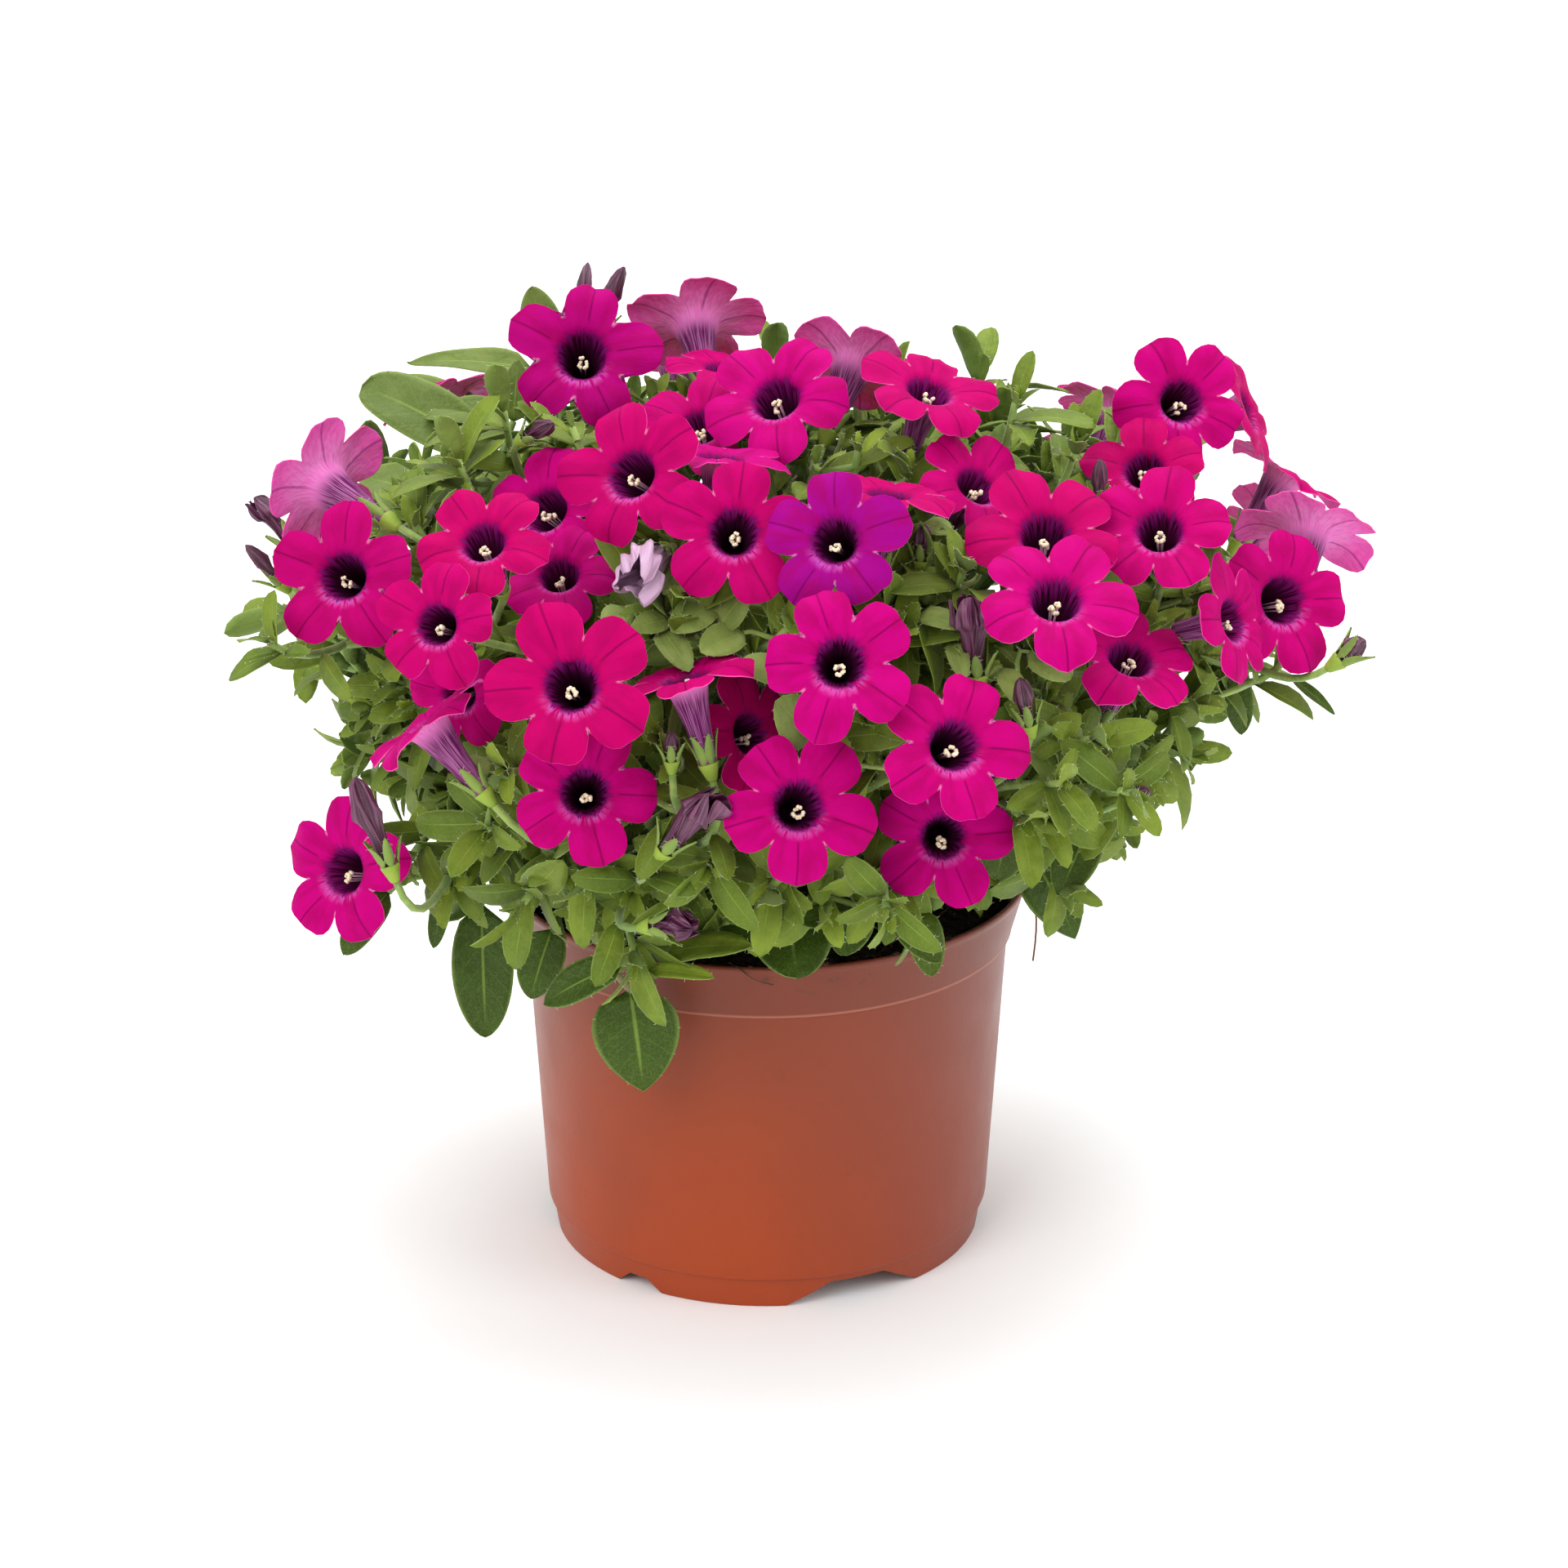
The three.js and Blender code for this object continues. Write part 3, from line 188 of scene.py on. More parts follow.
def placed_piece(name, mesh, materials, replaced=()):
    """Adds a finished mesh as a piece that rides with the pot and stands for the replaced CAD nodes"""
    for material in materials:
        mesh.materials.append(material)
    piece = added(name, mesh)
    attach(piece, "root")
    if replaced:
        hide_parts(*replaced)


def place_on(material):
    """Where a point of the piece is, in metres"""
    return material.node_tree.nodes.new("ShaderNodeTexCoord").outputs["Object"]


def node(kind, inputs, **settings):
    """A new shader node beside those that feed it. An input is a plain value or another node's socket."""
    tree = next(value.id_data for value in inputs.values() if isinstance(value, bpy.types.NodeSocket))
    made = tree.nodes.new(kind)
    for name, value in settings.items():
        setattr(made, name, value)
    for socket, value in inputs.items():
        if isinstance(value, bpy.types.NodeSocket):
            tree.links.new(value, made.inputs[socket])
        else:
            made.inputs[socket].default_value = value
    return made


def parts(vector):
    return node("ShaderNodeSeparateXYZ", {0: vector}).outputs


def maths(operation, *values):
    return node("ShaderNodeMath", dict(enumerate(values)), operation=operation).outputs[0]


def times(value, *others):
    for other in others:
        value = maths("MULTIPLY", value, other)
    return value


def between(value, low, high):
    """How far a value is on its smooth way from low, which gives 0, to high, which gives 1"""
    ends = {"Value": value, "From Min": low, "From Max": high}
    return node("ShaderNodeMapRange", ends, interpolation_type="SMOOTHSTEP").outputs[0]


def grain(vector, scale, detail=3):
    inputs = {"Vector": vector, "Scale": scale, "Detail": detail}
    return node("ShaderNodeTexNoise", inputs).outputs[0]


def linear(red, green, blue):
    """A colour as it shows on a screen, from 0 to 255, for a shader's socket"""
    shares = [value / 255 for value in (red, green, blue)]
    return (*[s / 12.92 if s < 0.04 else ((s + 0.055) / 1.055) ** 2.4 for s in shares], 1)


def over(below, colour, *shares):
    """A colour laid over the one below it. The shares, multiplied, say how thickly it lies."""
    ends = [value if isinstance(value, bpy.types.NodeSocket) else linear(*value) for value in (below, colour)]
    return node("ShaderNodeMix", {0: times(*shares), 6: ends[0], 7: ends[1]}, data_type="RGBA").outputs[2]


def feed(material, socket, value):
    shader = material.node_tree.nodes["Principled BSDF"]
    material.node_tree.links.new(value, shader.inputs[socket])


def relief(material, height, strength, distance):
    inputs = {"Height": height, "Strength": strength, "Distance": distance}
    feed(material, "Normal", node("ShaderNodeBump", inputs).outputs[0])


pot_shape = turned(softened([
    (0, FLOOR_UNDERSIDE, 0),
    (FOOT_RADIUS - FOOT_WIDTH - 0.6, FLOOR_UNDERSIDE, 1),
    (FOOT_RADIUS - FOOT_WIDTH, 0, 0.5),
    (FOOT_RADIUS, 0, 0.5),
    (FOOT_RADIUS + 0.9, FOOT_HEIGHT, 0.4),
    (BODY_FOOT, FOOT_HEIGHT + 0.6, 0.5),
    (BODY_TOP, COLLAR_FOOT, 0.4),
    (BODY_TOP + COLLAR_STEP, COLLAR_FOOT + 0.3, 0.5),
    (BODY_TOP + COLLAR_STEP, COLLAR_FOOT + 1.2, 0.4),
    (RIM - 0.8, POT_HEIGHT - 2.4, 0.6),
    (RIM, POT_HEIGHT - 1, 0.7),
    (RIM - 0.4, POT_HEIGHT, 0.5),
    (RIM - LIP, POT_HEIGHT, 0.4),
    (RIM - LIP - 1.2, POT_HEIGHT - 3, 1),
    (BODY_TOP - WALL, COLLAR_FOOT - 1, 1),
    (BODY_FOOT - WALL, FLOOR_TOP + 2, 1),
    (BODY_FOOT - WALL - 2, FLOOR_TOP, 1),
    (0, FLOOR_TOP, 0),
]), POT_STEPS)
cuts_shape = bmesh.new()
for index in range(NOTCHES):
    half_foot, half_top, height = WIDE_NOTCH if index % 2 else NARROW_NOTCH
    cut = bmesh.ops.create_cube(cuts_shape, size=1)["verts"]
    for vert in cut:
        half = half_foot if vert.co.z < 0 else half_top
        level = -0.5 if vert.co.z < 0 else height
        reach = FOOT_RADIUS + NOTCH_SPARE if vert.co.y < 0 else NOTCH_INNER
        vert.co = Vector((math.copysign(half, vert.co.x), -reach, level)) * MM
    turn = Matrix.Rotation(math.radians(FIRST_NOTCH + index * 360 / NOTCHES), 3, "Z")
    bmesh.ops.rotate(cuts_shape, verts=cut, cent=(0, 0, 0), matrix=turn)
uncut = added("pot_uncut", mesh_of(pot_shape, "pot_uncut"))
cuts = added("notch_cuts", mesh_of(cuts_shape, "notch_cuts"))
cutting = uncut.modifiers.new("notches", "BOOLEAN")
cutting.object = cuts
cutting.solver = "EXACT"
pot_mesh = bpy.data.meshes.new_from_object(uncut.evaluated_get(bpy.context.evaluated_depsgraph_get()))
bpy.data.objects.remove(cuts)
bpy.data.objects.remove(uncut)
pot_mesh.name = "pot_shell"
pot_mesh.materials.clear()
pot_mesh.shade_smooth()
pot_mesh.set_sharp_from_angle(angle=SHARP_ANGLE)
for face in pot_mesh.polygons:
    outward = Vector((face.center.x, face.center.y, 0)).normalized().dot(face.normal)
    inside = face.center.z > (FLOOR_TOP - 0.1) * MM and face.center.xy.length < (RIM - LIP) * MM
    turned_in = outward < -0.2 or face.center.z < COLLAR_FOOT * MM and outward < 0.3
    face.material_index = int(inside and turned_in)

pot_brown = finish_of("pot_brown_plastic", Roughness=0.4, Specular_IOR_Level=0.3)
place = place_on(pot_brown)
across, _, height = parts(place)
# painted light and shade: the brown is more orange low down and darker towards the top
brick_with_painted_light = over((156, 60, 20), (128, 53, 25), between(height, 0.005, 0.085))
# painted reflection: a mauve cast towards the right side
brick_with_painted_light = over(brick_with_painted_light, (100, 54, 50), between(across, -0.005, 0.062), 0.5)
brick_with_painted_light = over(brick_with_painted_light, (118, 50, 30), between(grain(place, 22, 2), 0.42, 0.7), 0.3)
collar = between(height, COLLAR_FOOT * MM, (COLLAR_FOOT + 0.6) * MM)
# painted shade: the collar is darker than the body
brick_with_painted_light = over(brick_with_painted_light, (108, 52, 38), collar, 0.6)
# painted highlight: a pale line along the foot of the collar's step
step_highlight = between(height, (COLLAR_FOOT + 1.3) * MM, (COLLAR_FOOT + 0.7) * MM)
brick_with_painted_light = over(brick_with_painted_light, (184, 118, 96), collar, step_highlight, 0.45)
soiled = maths("MULTIPLY_ADD", between(height, 0.082, 0.094), 0.5, 0.06)
brick_with_painted_light = over(brick_with_painted_light, (60, 42, 32), between(grain(place, 260, 4), 0.6, 0.72), soiled)
feed(pot_brown, "Base Color", brick_with_painted_light)
feed(pot_brown, "Roughness", maths("MULTIPLY_ADD", grain(place, 70, 4), 0.2, 0.3))
relief(pot_brown, grain(place, 900, 2), 0.12, 0.0003)
pot_black = finish_of("pot_black_plastic", Roughness=0.55)
dusty = between(grain(place_on(pot_black), 180, 4), 0.5, 0.7)
feed(pot_black, "Base Color", over((22, 20, 20), (48, 38, 32), dusty))
placed_piece("pot_shell", pot_mesh, [pot_brown, pot_black], ["pot"])

# Soil
# Dark potting mix of peat and fine bark, filled to a centimetre under the rim. Loose crumbs lie on it, a few
# have been spilled on the rim, and each stem stands in the soil.
SOIL_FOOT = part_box("soil")[0].z / MM
SOIL_EDGE, SOIL_CROWN, SOIL_RADIUS, SOIL_GAP = 84, 2.4, 59.7, 0.3
SOIL_TOP = SOIL_EDGE + SOIL_CROWN
SOIL_STEPS, SOIL_RINGS = 150, 36
CRUMBS, CRUMB_SIZES, RIM_CRUMB_SIZES = 420, (0.4, 1.5), (0.5, 1.1)
RIM_CRUMBS = (-97, -93.5, -81, -78, -62, -48, 20, 115, 200)  # where each lies on the rim, in degrees
Kind = namedtuple("Kind", "points marks faces finishes")


def soil_height(x, y):
    """How high the soil lies: a low crown with lumps and crumbs"""
    lumps = 1.1 * noise.noise(Vector((x, y, 0)) / 9) + 0.9 * noise.noise(Vector((x, y, 5)) / 3)
    crumbs = 0.5 * noise.noise(Vector((x, y, 9)) / 1.3)
    return SOIL_EDGE + SOIL_CROWN * (1 - (math.hypot(x, y) / BODY_TOP) ** 2) + lumps + crumbs


def kind_of(shape):
    """What is needed to copy a small shape many times. Its points carry marks for the finish to read."""
    layer = shape.verts.layers.float_vector.get("mark")
    shape.verts.index_update()
    points = np.array([vert.co for vert in shape.verts])
    marks = np.array([vert[layer] for vert in shape.verts]) if layer else np.zeros_like(points)
    faces = [[vert.index for vert in face.verts] for face in shape.faces]
    finishes = [face.material_index for face in shape.faces]
    shape.free()
    return Kind(points, marks, faces, finishes)


def copy_of(kind, base, across, along, upper, tone=(0, 0, 0)):
    """A copy of a kind with its own three directions, each as long as the copy is that way"""
    return kind, base + kind.points @ np.array([across, along, upper]), tone


def gathered(name, copies, materials, replaced=()):
    """One piece from many copies. A copy is its kind, its points in millimetres and its tones."""
    faces, first = [], 0
    for kind, points, _ in copies:
        faces += [[first + i for i in face] for face in kind.faces]
        first += len(points)
    mesh = bpy.data.meshes.new(name)
    mesh.from_pydata(np.concatenate([points for _, points, _ in copies]) * MM, [], faces)
    finishes = np.concatenate([kind.finishes for kind, _, _ in copies])
    mesh.polygons.foreach_set("material_index", finishes.astype(np.int32))
    marks = np.concatenate([kind.marks for kind, _, _ in copies])
    tones = np.concatenate([np.broadcast_to(tone, points.shape) for _, points, tone in copies])
    for label, values in (("mark", marks), ("tone", tones)):
        layer = mesh.attributes.new(label, "FLOAT_VECTOR", "POINT")
        layer.data.foreach_set("vector", values.astype(np.float32).ravel())
    mesh.shade_smooth()
    mesh.update()
    placed_piece(name, mesh, materials, replaced)


def way_out(turn, rise=0):
    """The way out from the pot's axis at a turn, raised through an angle"""
    return np.array([math.cos(turn) * math.cos(rise), math.sin(turn) * math.cos(rise), math.sin(rise)])


def crumb_at(spot, size, long):
    spin = np.array(Matrix.Rotation(dice.uniform(0, 6), 3, Vector(dice.normal(size=3)))) * size
    return copy_of(CRUMB, spot, *(spin * [long, 0.8, 0.6]))


bed = turned([*softened([
    (0, SOIL_FOOT, 0),
    (BODY_FOOT - WALL - 2.5, SOIL_FOOT, 1),
    (BODY_FOOT - WALL - SOIL_GAP, SOIL_FOOT + 2, 1),
    (BODY_TOP - WALL - SOIL_GAP, COLLAR_FOOT - 1, 1),
    (SOIL_RADIUS, SOIL_EDGE, 0.3),
]), *[(SOIL_RADIUS * share, SOIL_EDGE) for share in np.linspace(0.98, 0, SOIL_RINGS)]], SOIL_STEPS)
for vert in bed.verts:
    if vert.co.z > (SOIL_EDGE - 0.5) * MM:
        vert.co.z = soil_height(vert.co.x / MM, vert.co.y / MM) * MM

peat = finish_of("peat", Roughness=0.95, Specular_IOR_Level=0.2)
place = place_on(peat)
earth = over((20, 14, 11), (62, 44, 32), between(grain(place, 420, 5), 0.4, 0.66))
feed(peat, "Base Color", over(earth, (112, 84, 58), between(grain(place, 900, 2), 0.66, 0.74)))
relief(peat, grain(place, 700, 5), 0.9, 0.0012)
placed_piece("soil_bed", mesh_of(bed, "soil_bed"), [peat], ["soil"])

crumb_shape = bmesh.new()
bmesh.ops.create_icosphere(crumb_shape, subdivisions=1, radius=1)
for vert in crumb_shape.verts:
    vert.co *= 1 + 0.5 * noise.noise(vert.co * 2)
CRUMB = kind_of(crumb_shape)
dice = np.random.default_rng(11)
crumbs = []
for _ in range(CRUMBS):
    turn, r = dice.uniform(0, 2 * math.pi), SOIL_RADIUS * math.sqrt(dice.uniform(0.05, 0.99))
    x, y = r * math.cos(turn), r * math.sin(turn)
    spot = np.array([x, y, soil_height(x, y) + 0.2])
    crumbs.append(crumb_at(spot, dice.uniform(*CRUMB_SIZES), 1))
for turn in np.radians(RIM_CRUMBS):
    size = dice.uniform(*RIM_CRUMB_SIZES)
    spot = way_out(turn) * (RIM - 0.7) + np.array([0, 0, POT_HEIGHT + size * 0.35])
    crumbs.append(crumb_at(spot, size, 1.3))
gathered("soil_crumbs", crumbs, [peat])

# Root fibres
# Fine roots and coir strands stick out of the soil in low loops. One lies over the rim at the front, and
# one hangs from it on the right.
FIBRES, FIBRE_RADIUS, HANGING_RADIUS, FIBRE_STRIDE = 60, 0.13, 0.26, 1.7
FIBRE_LIFTS = np.array([-0.8, 0.6, 1.3, 1.5, 0.7, -0.8])
FRONT_FIBRE = [(-9, -62.6, 95), (-7, -64.4, 94.8), (-4.5, -65.4, 92.6), (-2, -65.2, 91), (1.5, -65.1, 90.4)]
HANGING_FIBRE = [(62.6, -12, 94.6), (64.2, -12.6, 95), (66, -13, 91), (66.8, -12.6, 83), (65.8, -12.4, 74)]


def strand(points, radius):
    """A thin closed tube through some points, along a smooth curve"""
    line = bpy.data.curves.new("strand", "CURVE")
    line.dimensions = "3D"
    line.bevel_depth, line.bevel_resolution, line.resolution_u = radius * MM, 1, 3
    line.use_fill_caps = True
    spline = line.splines.new("NURBS")
    spline.points.add(len(points) - 1)
    spline.points.foreach_set("co", np.array([(*point * MM, 1) for point in points]).ravel())
    spline.use_endpoint_u = True
    holder = bpy.data.objects.new("strand", line)
    mesh = bpy.data.meshes.new_from_object(holder)
    bpy.data.objects.remove(holder)
    return mesh


strands = [(np.array(FRONT_FIBRE), FIBRE_RADIUS), (np.array(HANGING_FIBRE), HANGING_RADIUS)]
for _ in range(FIBRES):
    turn, r = dice.uniform(0, 2 * math.pi), SOIL_RADIUS * math.sqrt(dice.uniform(0.2, 0.93))
    spot = np.array([r * math.cos(turn), r * math.sin(turn)])
    walk = spot + np.cumsum(dice.normal(scale=FIBRE_STRIDE, size=(6, 2)), axis=0)
    walk *= np.minimum(1, (SOIL_RADIUS - 1) / np.linalg.norm(walk, axis=1))[:, None]
    lifts = FIBRE_LIFTS * dice.uniform(0.5, 1.5)
    points = np.array([(x, y, soil_height(x, y) + lift) for (x, y), lift in zip(walk, lifts)])
    strands.append((points, FIBRE_RADIUS))
fibres = bmesh.new()
for points, radius in strands:
    fibres.from_mesh(strand(points, radius))
fibre_tan = finish_of("fibre_tan", Roughness=0.8)
aged = between(grain(place_on(fibre_tan), 60, 2), 0.4, 0.6)
feed(fibre_tan, "Base Color", over((120, 78, 52), (52, 28, 20), aged))
placed_piece("root_fibres", mesh_of(fibres, "root_fibres"), [fibre_tan])

# Stems
# Fourteen soft green stems, as thick as a pencil lead at their tips and half as thick again at the soil. They
# rise from it and spread into a mound. All that grows is noted as rows of balls, by the rule of the part's
# source, so that later shoots and leaves keep clear of it and stand where the solids stand.
STEM_ROOT, STEM_TIP, STEM_STEPS, FINE_STEPS, HOLE_DEPTH = 1.9, 1.2, 5, 30, 9
STEM_SIDES, STEM_RINGS, BALL_STEP = 9, 24, 2.4
UP = np.array([0, 0, 1.0])
STEMS = [  # name, place in the soil, place of the tip, and how far it bows up between them
    ("low_left", (-22, -12), (-70, -34, 124), 14),
    ("left", (-26, 2), (-74, 16, 142), 14),
    ("high_left", (-19, 15), (-48, 42, 172), 10),
    ("rear_left", (-8, 25), (-30, 66, 146), 14),
    ("rear_right", (9, 26), (34, 66, 146), 14),
    ("high_right", (20, 15), (60, 38, 164), 10),
    ("right", (27, 1), (84, 2, 144), 14),
    ("low_right", (23, -13), (62, -40, 134), 14),
    ("front_right", (13, -23), (32, -62, 122), 16),
    ("front_left", (-12, -24), (-30, -60, 122), 16),
    ("mid_left", (-13, -7), (-42, -22, 160), 8),
    ("mid_right", (14, -6), (40, -18, 162), 8),
    ("top_front", (0, -12), (0, -30, 168), 6),
    ("top_rear", (1, 11), (2, 24, 182), 6),
]


def curve(control, steps):
    """Points on a bent line, evenly spaced in its parameter"""
    t = np.linspace(0, 1, steps + 1)[:, None]
    a, b, c, d = control
    return a * (1 - t) ** 3 + b * 3 * (1 - t) ** 2 * t + c * 3 * (1 - t) * t**2 + d * t**3


def tube_kind(sides, steps):
    """A closed round tube of radius 1 and length 1, in steps along its length"""
    shape = bmesh.new()
    lift = Matrix.Translation((0, 0, 0.5))
    bmesh.ops.create_cone(shape, cap_ends=True, segments=sides, radius1=1, radius2=1, depth=1, matrix=lift)
    for step in range(1, steps):
        geometry = [*shape.verts, *shape.edges, *shape.faces]
        level = (0, 0, step / steps)
        bmesh.ops.bisect_plane(shape, geom=geometry, plane_co=level, plane_no=(0, 0, 1))
    marks = shape.verts.layers.float_vector.new("mark")
    for vert in shape.verts:
        vert[marks] = vert.co
    return kind_of(shape)


def along_line(kind, line, radius_at):
    """A copy of a tube that is bent along a line, with its radius given along its length"""
    places = np.linspace(0, 1, len(line))
    t = kind.points[:, 2]
    centre = np.stack([np.interp(t, places, line[:, i]) for i in range(3)], axis=1)
    slope = np.gradient(line, axis=0)
    way = np.stack([np.interp(t, places, slope[:, i]) for i in range(3)], axis=1)
    way /= np.linalg.norm(way, axis=1)[:, None]
    hint = np.array([0.3, 1, 0.1]) / 1.05
    side = hint - way * (way @ hint)[:, None]
    side /= np.linalg.norm(side, axis=1)[:, None]
    other = np.cross(way, side)
    radius = radius_at(t)[:, None]
    points = centre + radius * (kind.points[:, :1] * side + kind.points[:, 1:2] * other)
    return kind, points, (0, 0, 0)


room = {"places": np.zeros((0, 3)), "radii": np.zeros(0), "owners": np.zeros(0, int)}
owner_numbers = {}


def note(places, radii, owner):
    """Notes the room that a grown thing takes"""
    number = owner_numbers.setdefault(owner, len(owner_numbers))
    room["places"] = np.concatenate([room["places"], places])
    room["radii"] = np.concatenate([room["radii"], radii])
    room["owners"] = np.concatenate([room["owners"], np.full(len(radii), number)])


def places_along(line):
    places = []
    for begin, end in zip(line, line[1:]):
        count = math.ceil(math.dist(begin, end) / BALL_STEP)
        places += [begin + (end - begin) * ((k + 1) / count) for k in range(count)]
    return np.array(places)


STEM_KIND = tube_kind(STEM_SIDES, STEM_RINGS)
stems, lines = [], []  # a line is a stem's or a shoot's course, kept with the stem that it belongs to
for name, root, tip, bow in STEMS:
    neck = np.array([*root, SOIL_TOP + 1.5])
    foot = np.array([*root, SOIL_TOP - HOLE_DEPTH + 1])
    tip = np.array(tip, float)
    bend = neck + (tip - neck) * 0.6 + UP * bow
    control = [neck, neck + UP * (0.45 * (tip[2] - neck[2]) + 4), bend, tip]
    stem = {"name": name, "line": np.array([foot, *curve(control, STEM_STEPS)])}
    stem["fine"] = np.array([foot, *curve(control, FINE_STEPS)])
    stem["wood"] = [along_line(STEM_KIND, stem["fine"], lambda t: STEM_ROOT + (STEM_TIP - STEM_ROOT) * t)]
    stem.update(calyxes=[], leaves=[], hairs=[])
    stems.append(stem)
    lines.append((stem, stem["fine"]))
    places = places_along(stem["line"])
    note(places, np.full(len(places), STEM_ROOT), name)

# Blooms
# Each is one funnel of five joined petals: a slim purple tube, a dark throat and a flat face of round
# magenta lobes with a crease down each. The backs are paler, and a thin pale edge runs round the lobes.
# The face's colour also holds painted shade along the creases and deep in the tube, and a pale glow of
# painted light on the lower side of the throat.
BLOOM_SIZE, TUBE, LOBES = 35.6, 24, 5
LOBE_TURN = 2 * math.pi / LOBES
LOBE_STEPS = 7  # from the middle of a lobe to the notch beside it
PETAL_THICKNESS = 0.28
TUBE_RINGS = [  # radius, height
    (1.5, -24), (1.95, -21.5), (2.8, -12.5), (3.5, -8.4), (4.8, -2.9), (5.7, -1.2), (7.2, -0.4),
]
THROAT_RADIUS, THROAT_LEVEL = TUBE_RINGS[-1]
LOBE_REACH, LOBE_RISE = 17.9, 0.45
LIMB_SHARES = (0.16, 0.34, 0.52, 0.68, 0.82, 0.92, 0.98, 1)
BLOOMS = [  # place in the picture, how far out on the mound, the way it faces in the picture, diameter
    (712, 430, 1.04, (0.02, 0.1, 1), 38), (418, 703, 1.0, (-0.2, 0.05, 1), 35),
    (660, 607, 1.0, (-0.4, 0.3, 1), 34), (772, 580, 1.08, (-0.4, 0.2, 1), 35),
    (598, 672, 1.0, (-0.15, 0.45, 1), 31), (682, 696, 0.92, (-0.1, 0.5, 1), 29),
    (540, 772, 1.06, (-0.3, 0.05, 1), 29), (556, 846, 0.95, (-0.4, -0.2, 1), 26),
    (703, 846, 1.06, (-0.08, 0.08, 1), 37), (518, 880, 1.06, (-0.62, 0.76, 1), 33),
    (714, 968, 1.06, (0.03, 0.02, 1), 34), (900, 656, 1.02, (0.02, 0.08, 1), 34),
    (1022, 666, 1.08, (-0.16, 0.06, 1), 33), (1028, 816, 1.05, (0, 0.04, 1), 35),
    (978, 988, 1.03, (0.12, 0.04, 1), 35), (1168, 915, 1.06, (0.22, 0.1, 1), 35),
    (1157, 1024, 0.98, (0.05, -0.1, 1), 32), (922, 892, 0.97, (0.68, 0.1, 1), 31),
    (838, 826, 1.0, (-0.25, 0.93, 1), 33), (1280, 655, 0.99, (0, 0.45, 1), 36),
    (1292, 735, 1.06, (0.05, 0.5, 1), 36), (1388, 802, 1.0, (0.25, 0.6, 1), 33),
    (1420, 650, 1.05, (-0.1, 0.35, 1), 33), (1404, 572, 0.98, (-0.15, 0.4, 1), 30),
    (1452, 487, 1.12, (0.22, 0.08, 1), 33), (1530, 505, 1.0, (0.9, 0.3, 1), 32),
    (1584, 728, 1.08, (0.42, 0.02, 1), 36), (1604, 646, 1.04, (0.15, 0.93, -1), 36),
    (1514, 760, 1.02, (0.8, 0.12, 1), 31), (1203, 584, 1.02, (0.4, 0.5, 1), 31),
    (1140, 475, 1.06, (0.25, 0.72, 1), 33), (1048, 434, 1.06, (0.3, 0.85, -1), 34),
    (950, 482, 1.02, (-0.25, 0.45, 1), 36), (856, 512, 0.95, (-0.15, 0.55, 1), 32),
    (850, 378, 1.1, (-0.15, 0.85, -1), 36), (888, 440, 0.98, (0.1, 0.9, 1), 30),
    (884, 552, 1.06, (0.1, 0.95, 1), 33), (1090, 600, 1.06, (0.1, 0.93, 1), 31),
    (394, 590, 1.04, (-0.72, 0.45, -1), 36), (418, 1066, 1.1, (-0.55, 0.02, 1), 35),
]
REAR_BLOOMS = [  # turn round the mound, height angle on it, diameter: the picture doesn't show them
    (150, 8, 34), (133, 33, 36), (115, 7, 33), (103, 40, 35), (88, 4, 34), (76, 34, 33),
    (60, 8, 36), (47, 30, 34), (30, 6, 34), (168, 26, 34), (14, 28, 34),
]
REAR_OUT = 1.08  # how far out on the mound they stand
TRAITS = {  # by place in the list from 0: how violet, how wide its gaps
    0: (0.35, 0.2), 1: (0.1, 0.12), 10: (0, 0.08), 12: (0.9, 0.04), 13: (0, 0.1), 15: (0, 0.08),
}
SPENT_BLOOMS = (40, 49)  # these two at the rear have withered and are made with the buds
BLOOM_BALLS = [  # how many, at what radius and height, and how large
    (1, 0, -32, 1.6), (1, 0, -28, 1.8), (1, 0, -24, 2.9), (1, 0, -21, 2.9), (1, 0, -17.5, 3.3),
    (1, 0, -14, 4), (1, 0, -10, 4.8), (1, 0, -6, 5.5), (7, 6.5, -2.4, 2.9), (13, 11, -0.7, 2.5),
    (19, 15.3, -0.9, 2.8),
]
FOOT_BALLS = 3  # the first of them are the room of the calyx and the shoot's end
DOME_CENTRE = np.array([2.0, 3, 154])
DOME_RADII = np.array([138.0, 106, 70])
SPREAD_PASSES, SPREAD_REACH, SPREAD_SHARE = 24, 44, 0.35
LOBE_FOOT, LOBE_LENGTH = 8, 10  # the radius from which a lobe bends freely, and how long it is from there
CREASE_DEPTH, CREASE_WIDTH, EDGE_DROP = 0.6, 0.6, 1.5


def unit(vector):
    return vector / math.sqrt(vector @ vector)


def square_to(axis, hint):
    """Two directions square to an axis, the first of them nearest to a hint"""
    side = hint - axis * (hint @ axis)
    if side @ side < 1e-6:
        side = PICTURE_RIGHT - axis * (PICTURE_RIGHT @ axis)
    side = unit(side)
    return side, np.cross(axis, side)


def around(side, other, turn):
    return side * math.cos(turn) + other * math.sin(turn)


def random_from(seed):
    """The same repeatable numbers from 0 to 1 as in the part's source"""
    state = seed

    def draw():
        nonlocal state
        state = (state * 1664525 + 1013904223) & 0xFFFFFFFF
        return state / 4294967296

    for _ in range(3):
        draw()
    return draw


def on_dome(u, v, grown):
    """The point that shows at u, v and lies on the mound, grown by a factor"""
    line, radii = sight_line(u, v), DOME_RADII * grown
    start, way = (CAMERA - DOME_CENTRE) / radii, line / radii
    half = (start @ way) / (way @ way)
    root = half * half - (start @ start - 1) / (way @ way)
    return CAMERA + line * (-half - math.sqrt(max(root, 0)))


def facing(right, up, sense):
    towards = math.sqrt(max(0, 1 - right * right - up * up)) * sense
    return unit(PICTURE_RIGHT * right + PICTURE_UP * up + TO_CAMERA * towards)


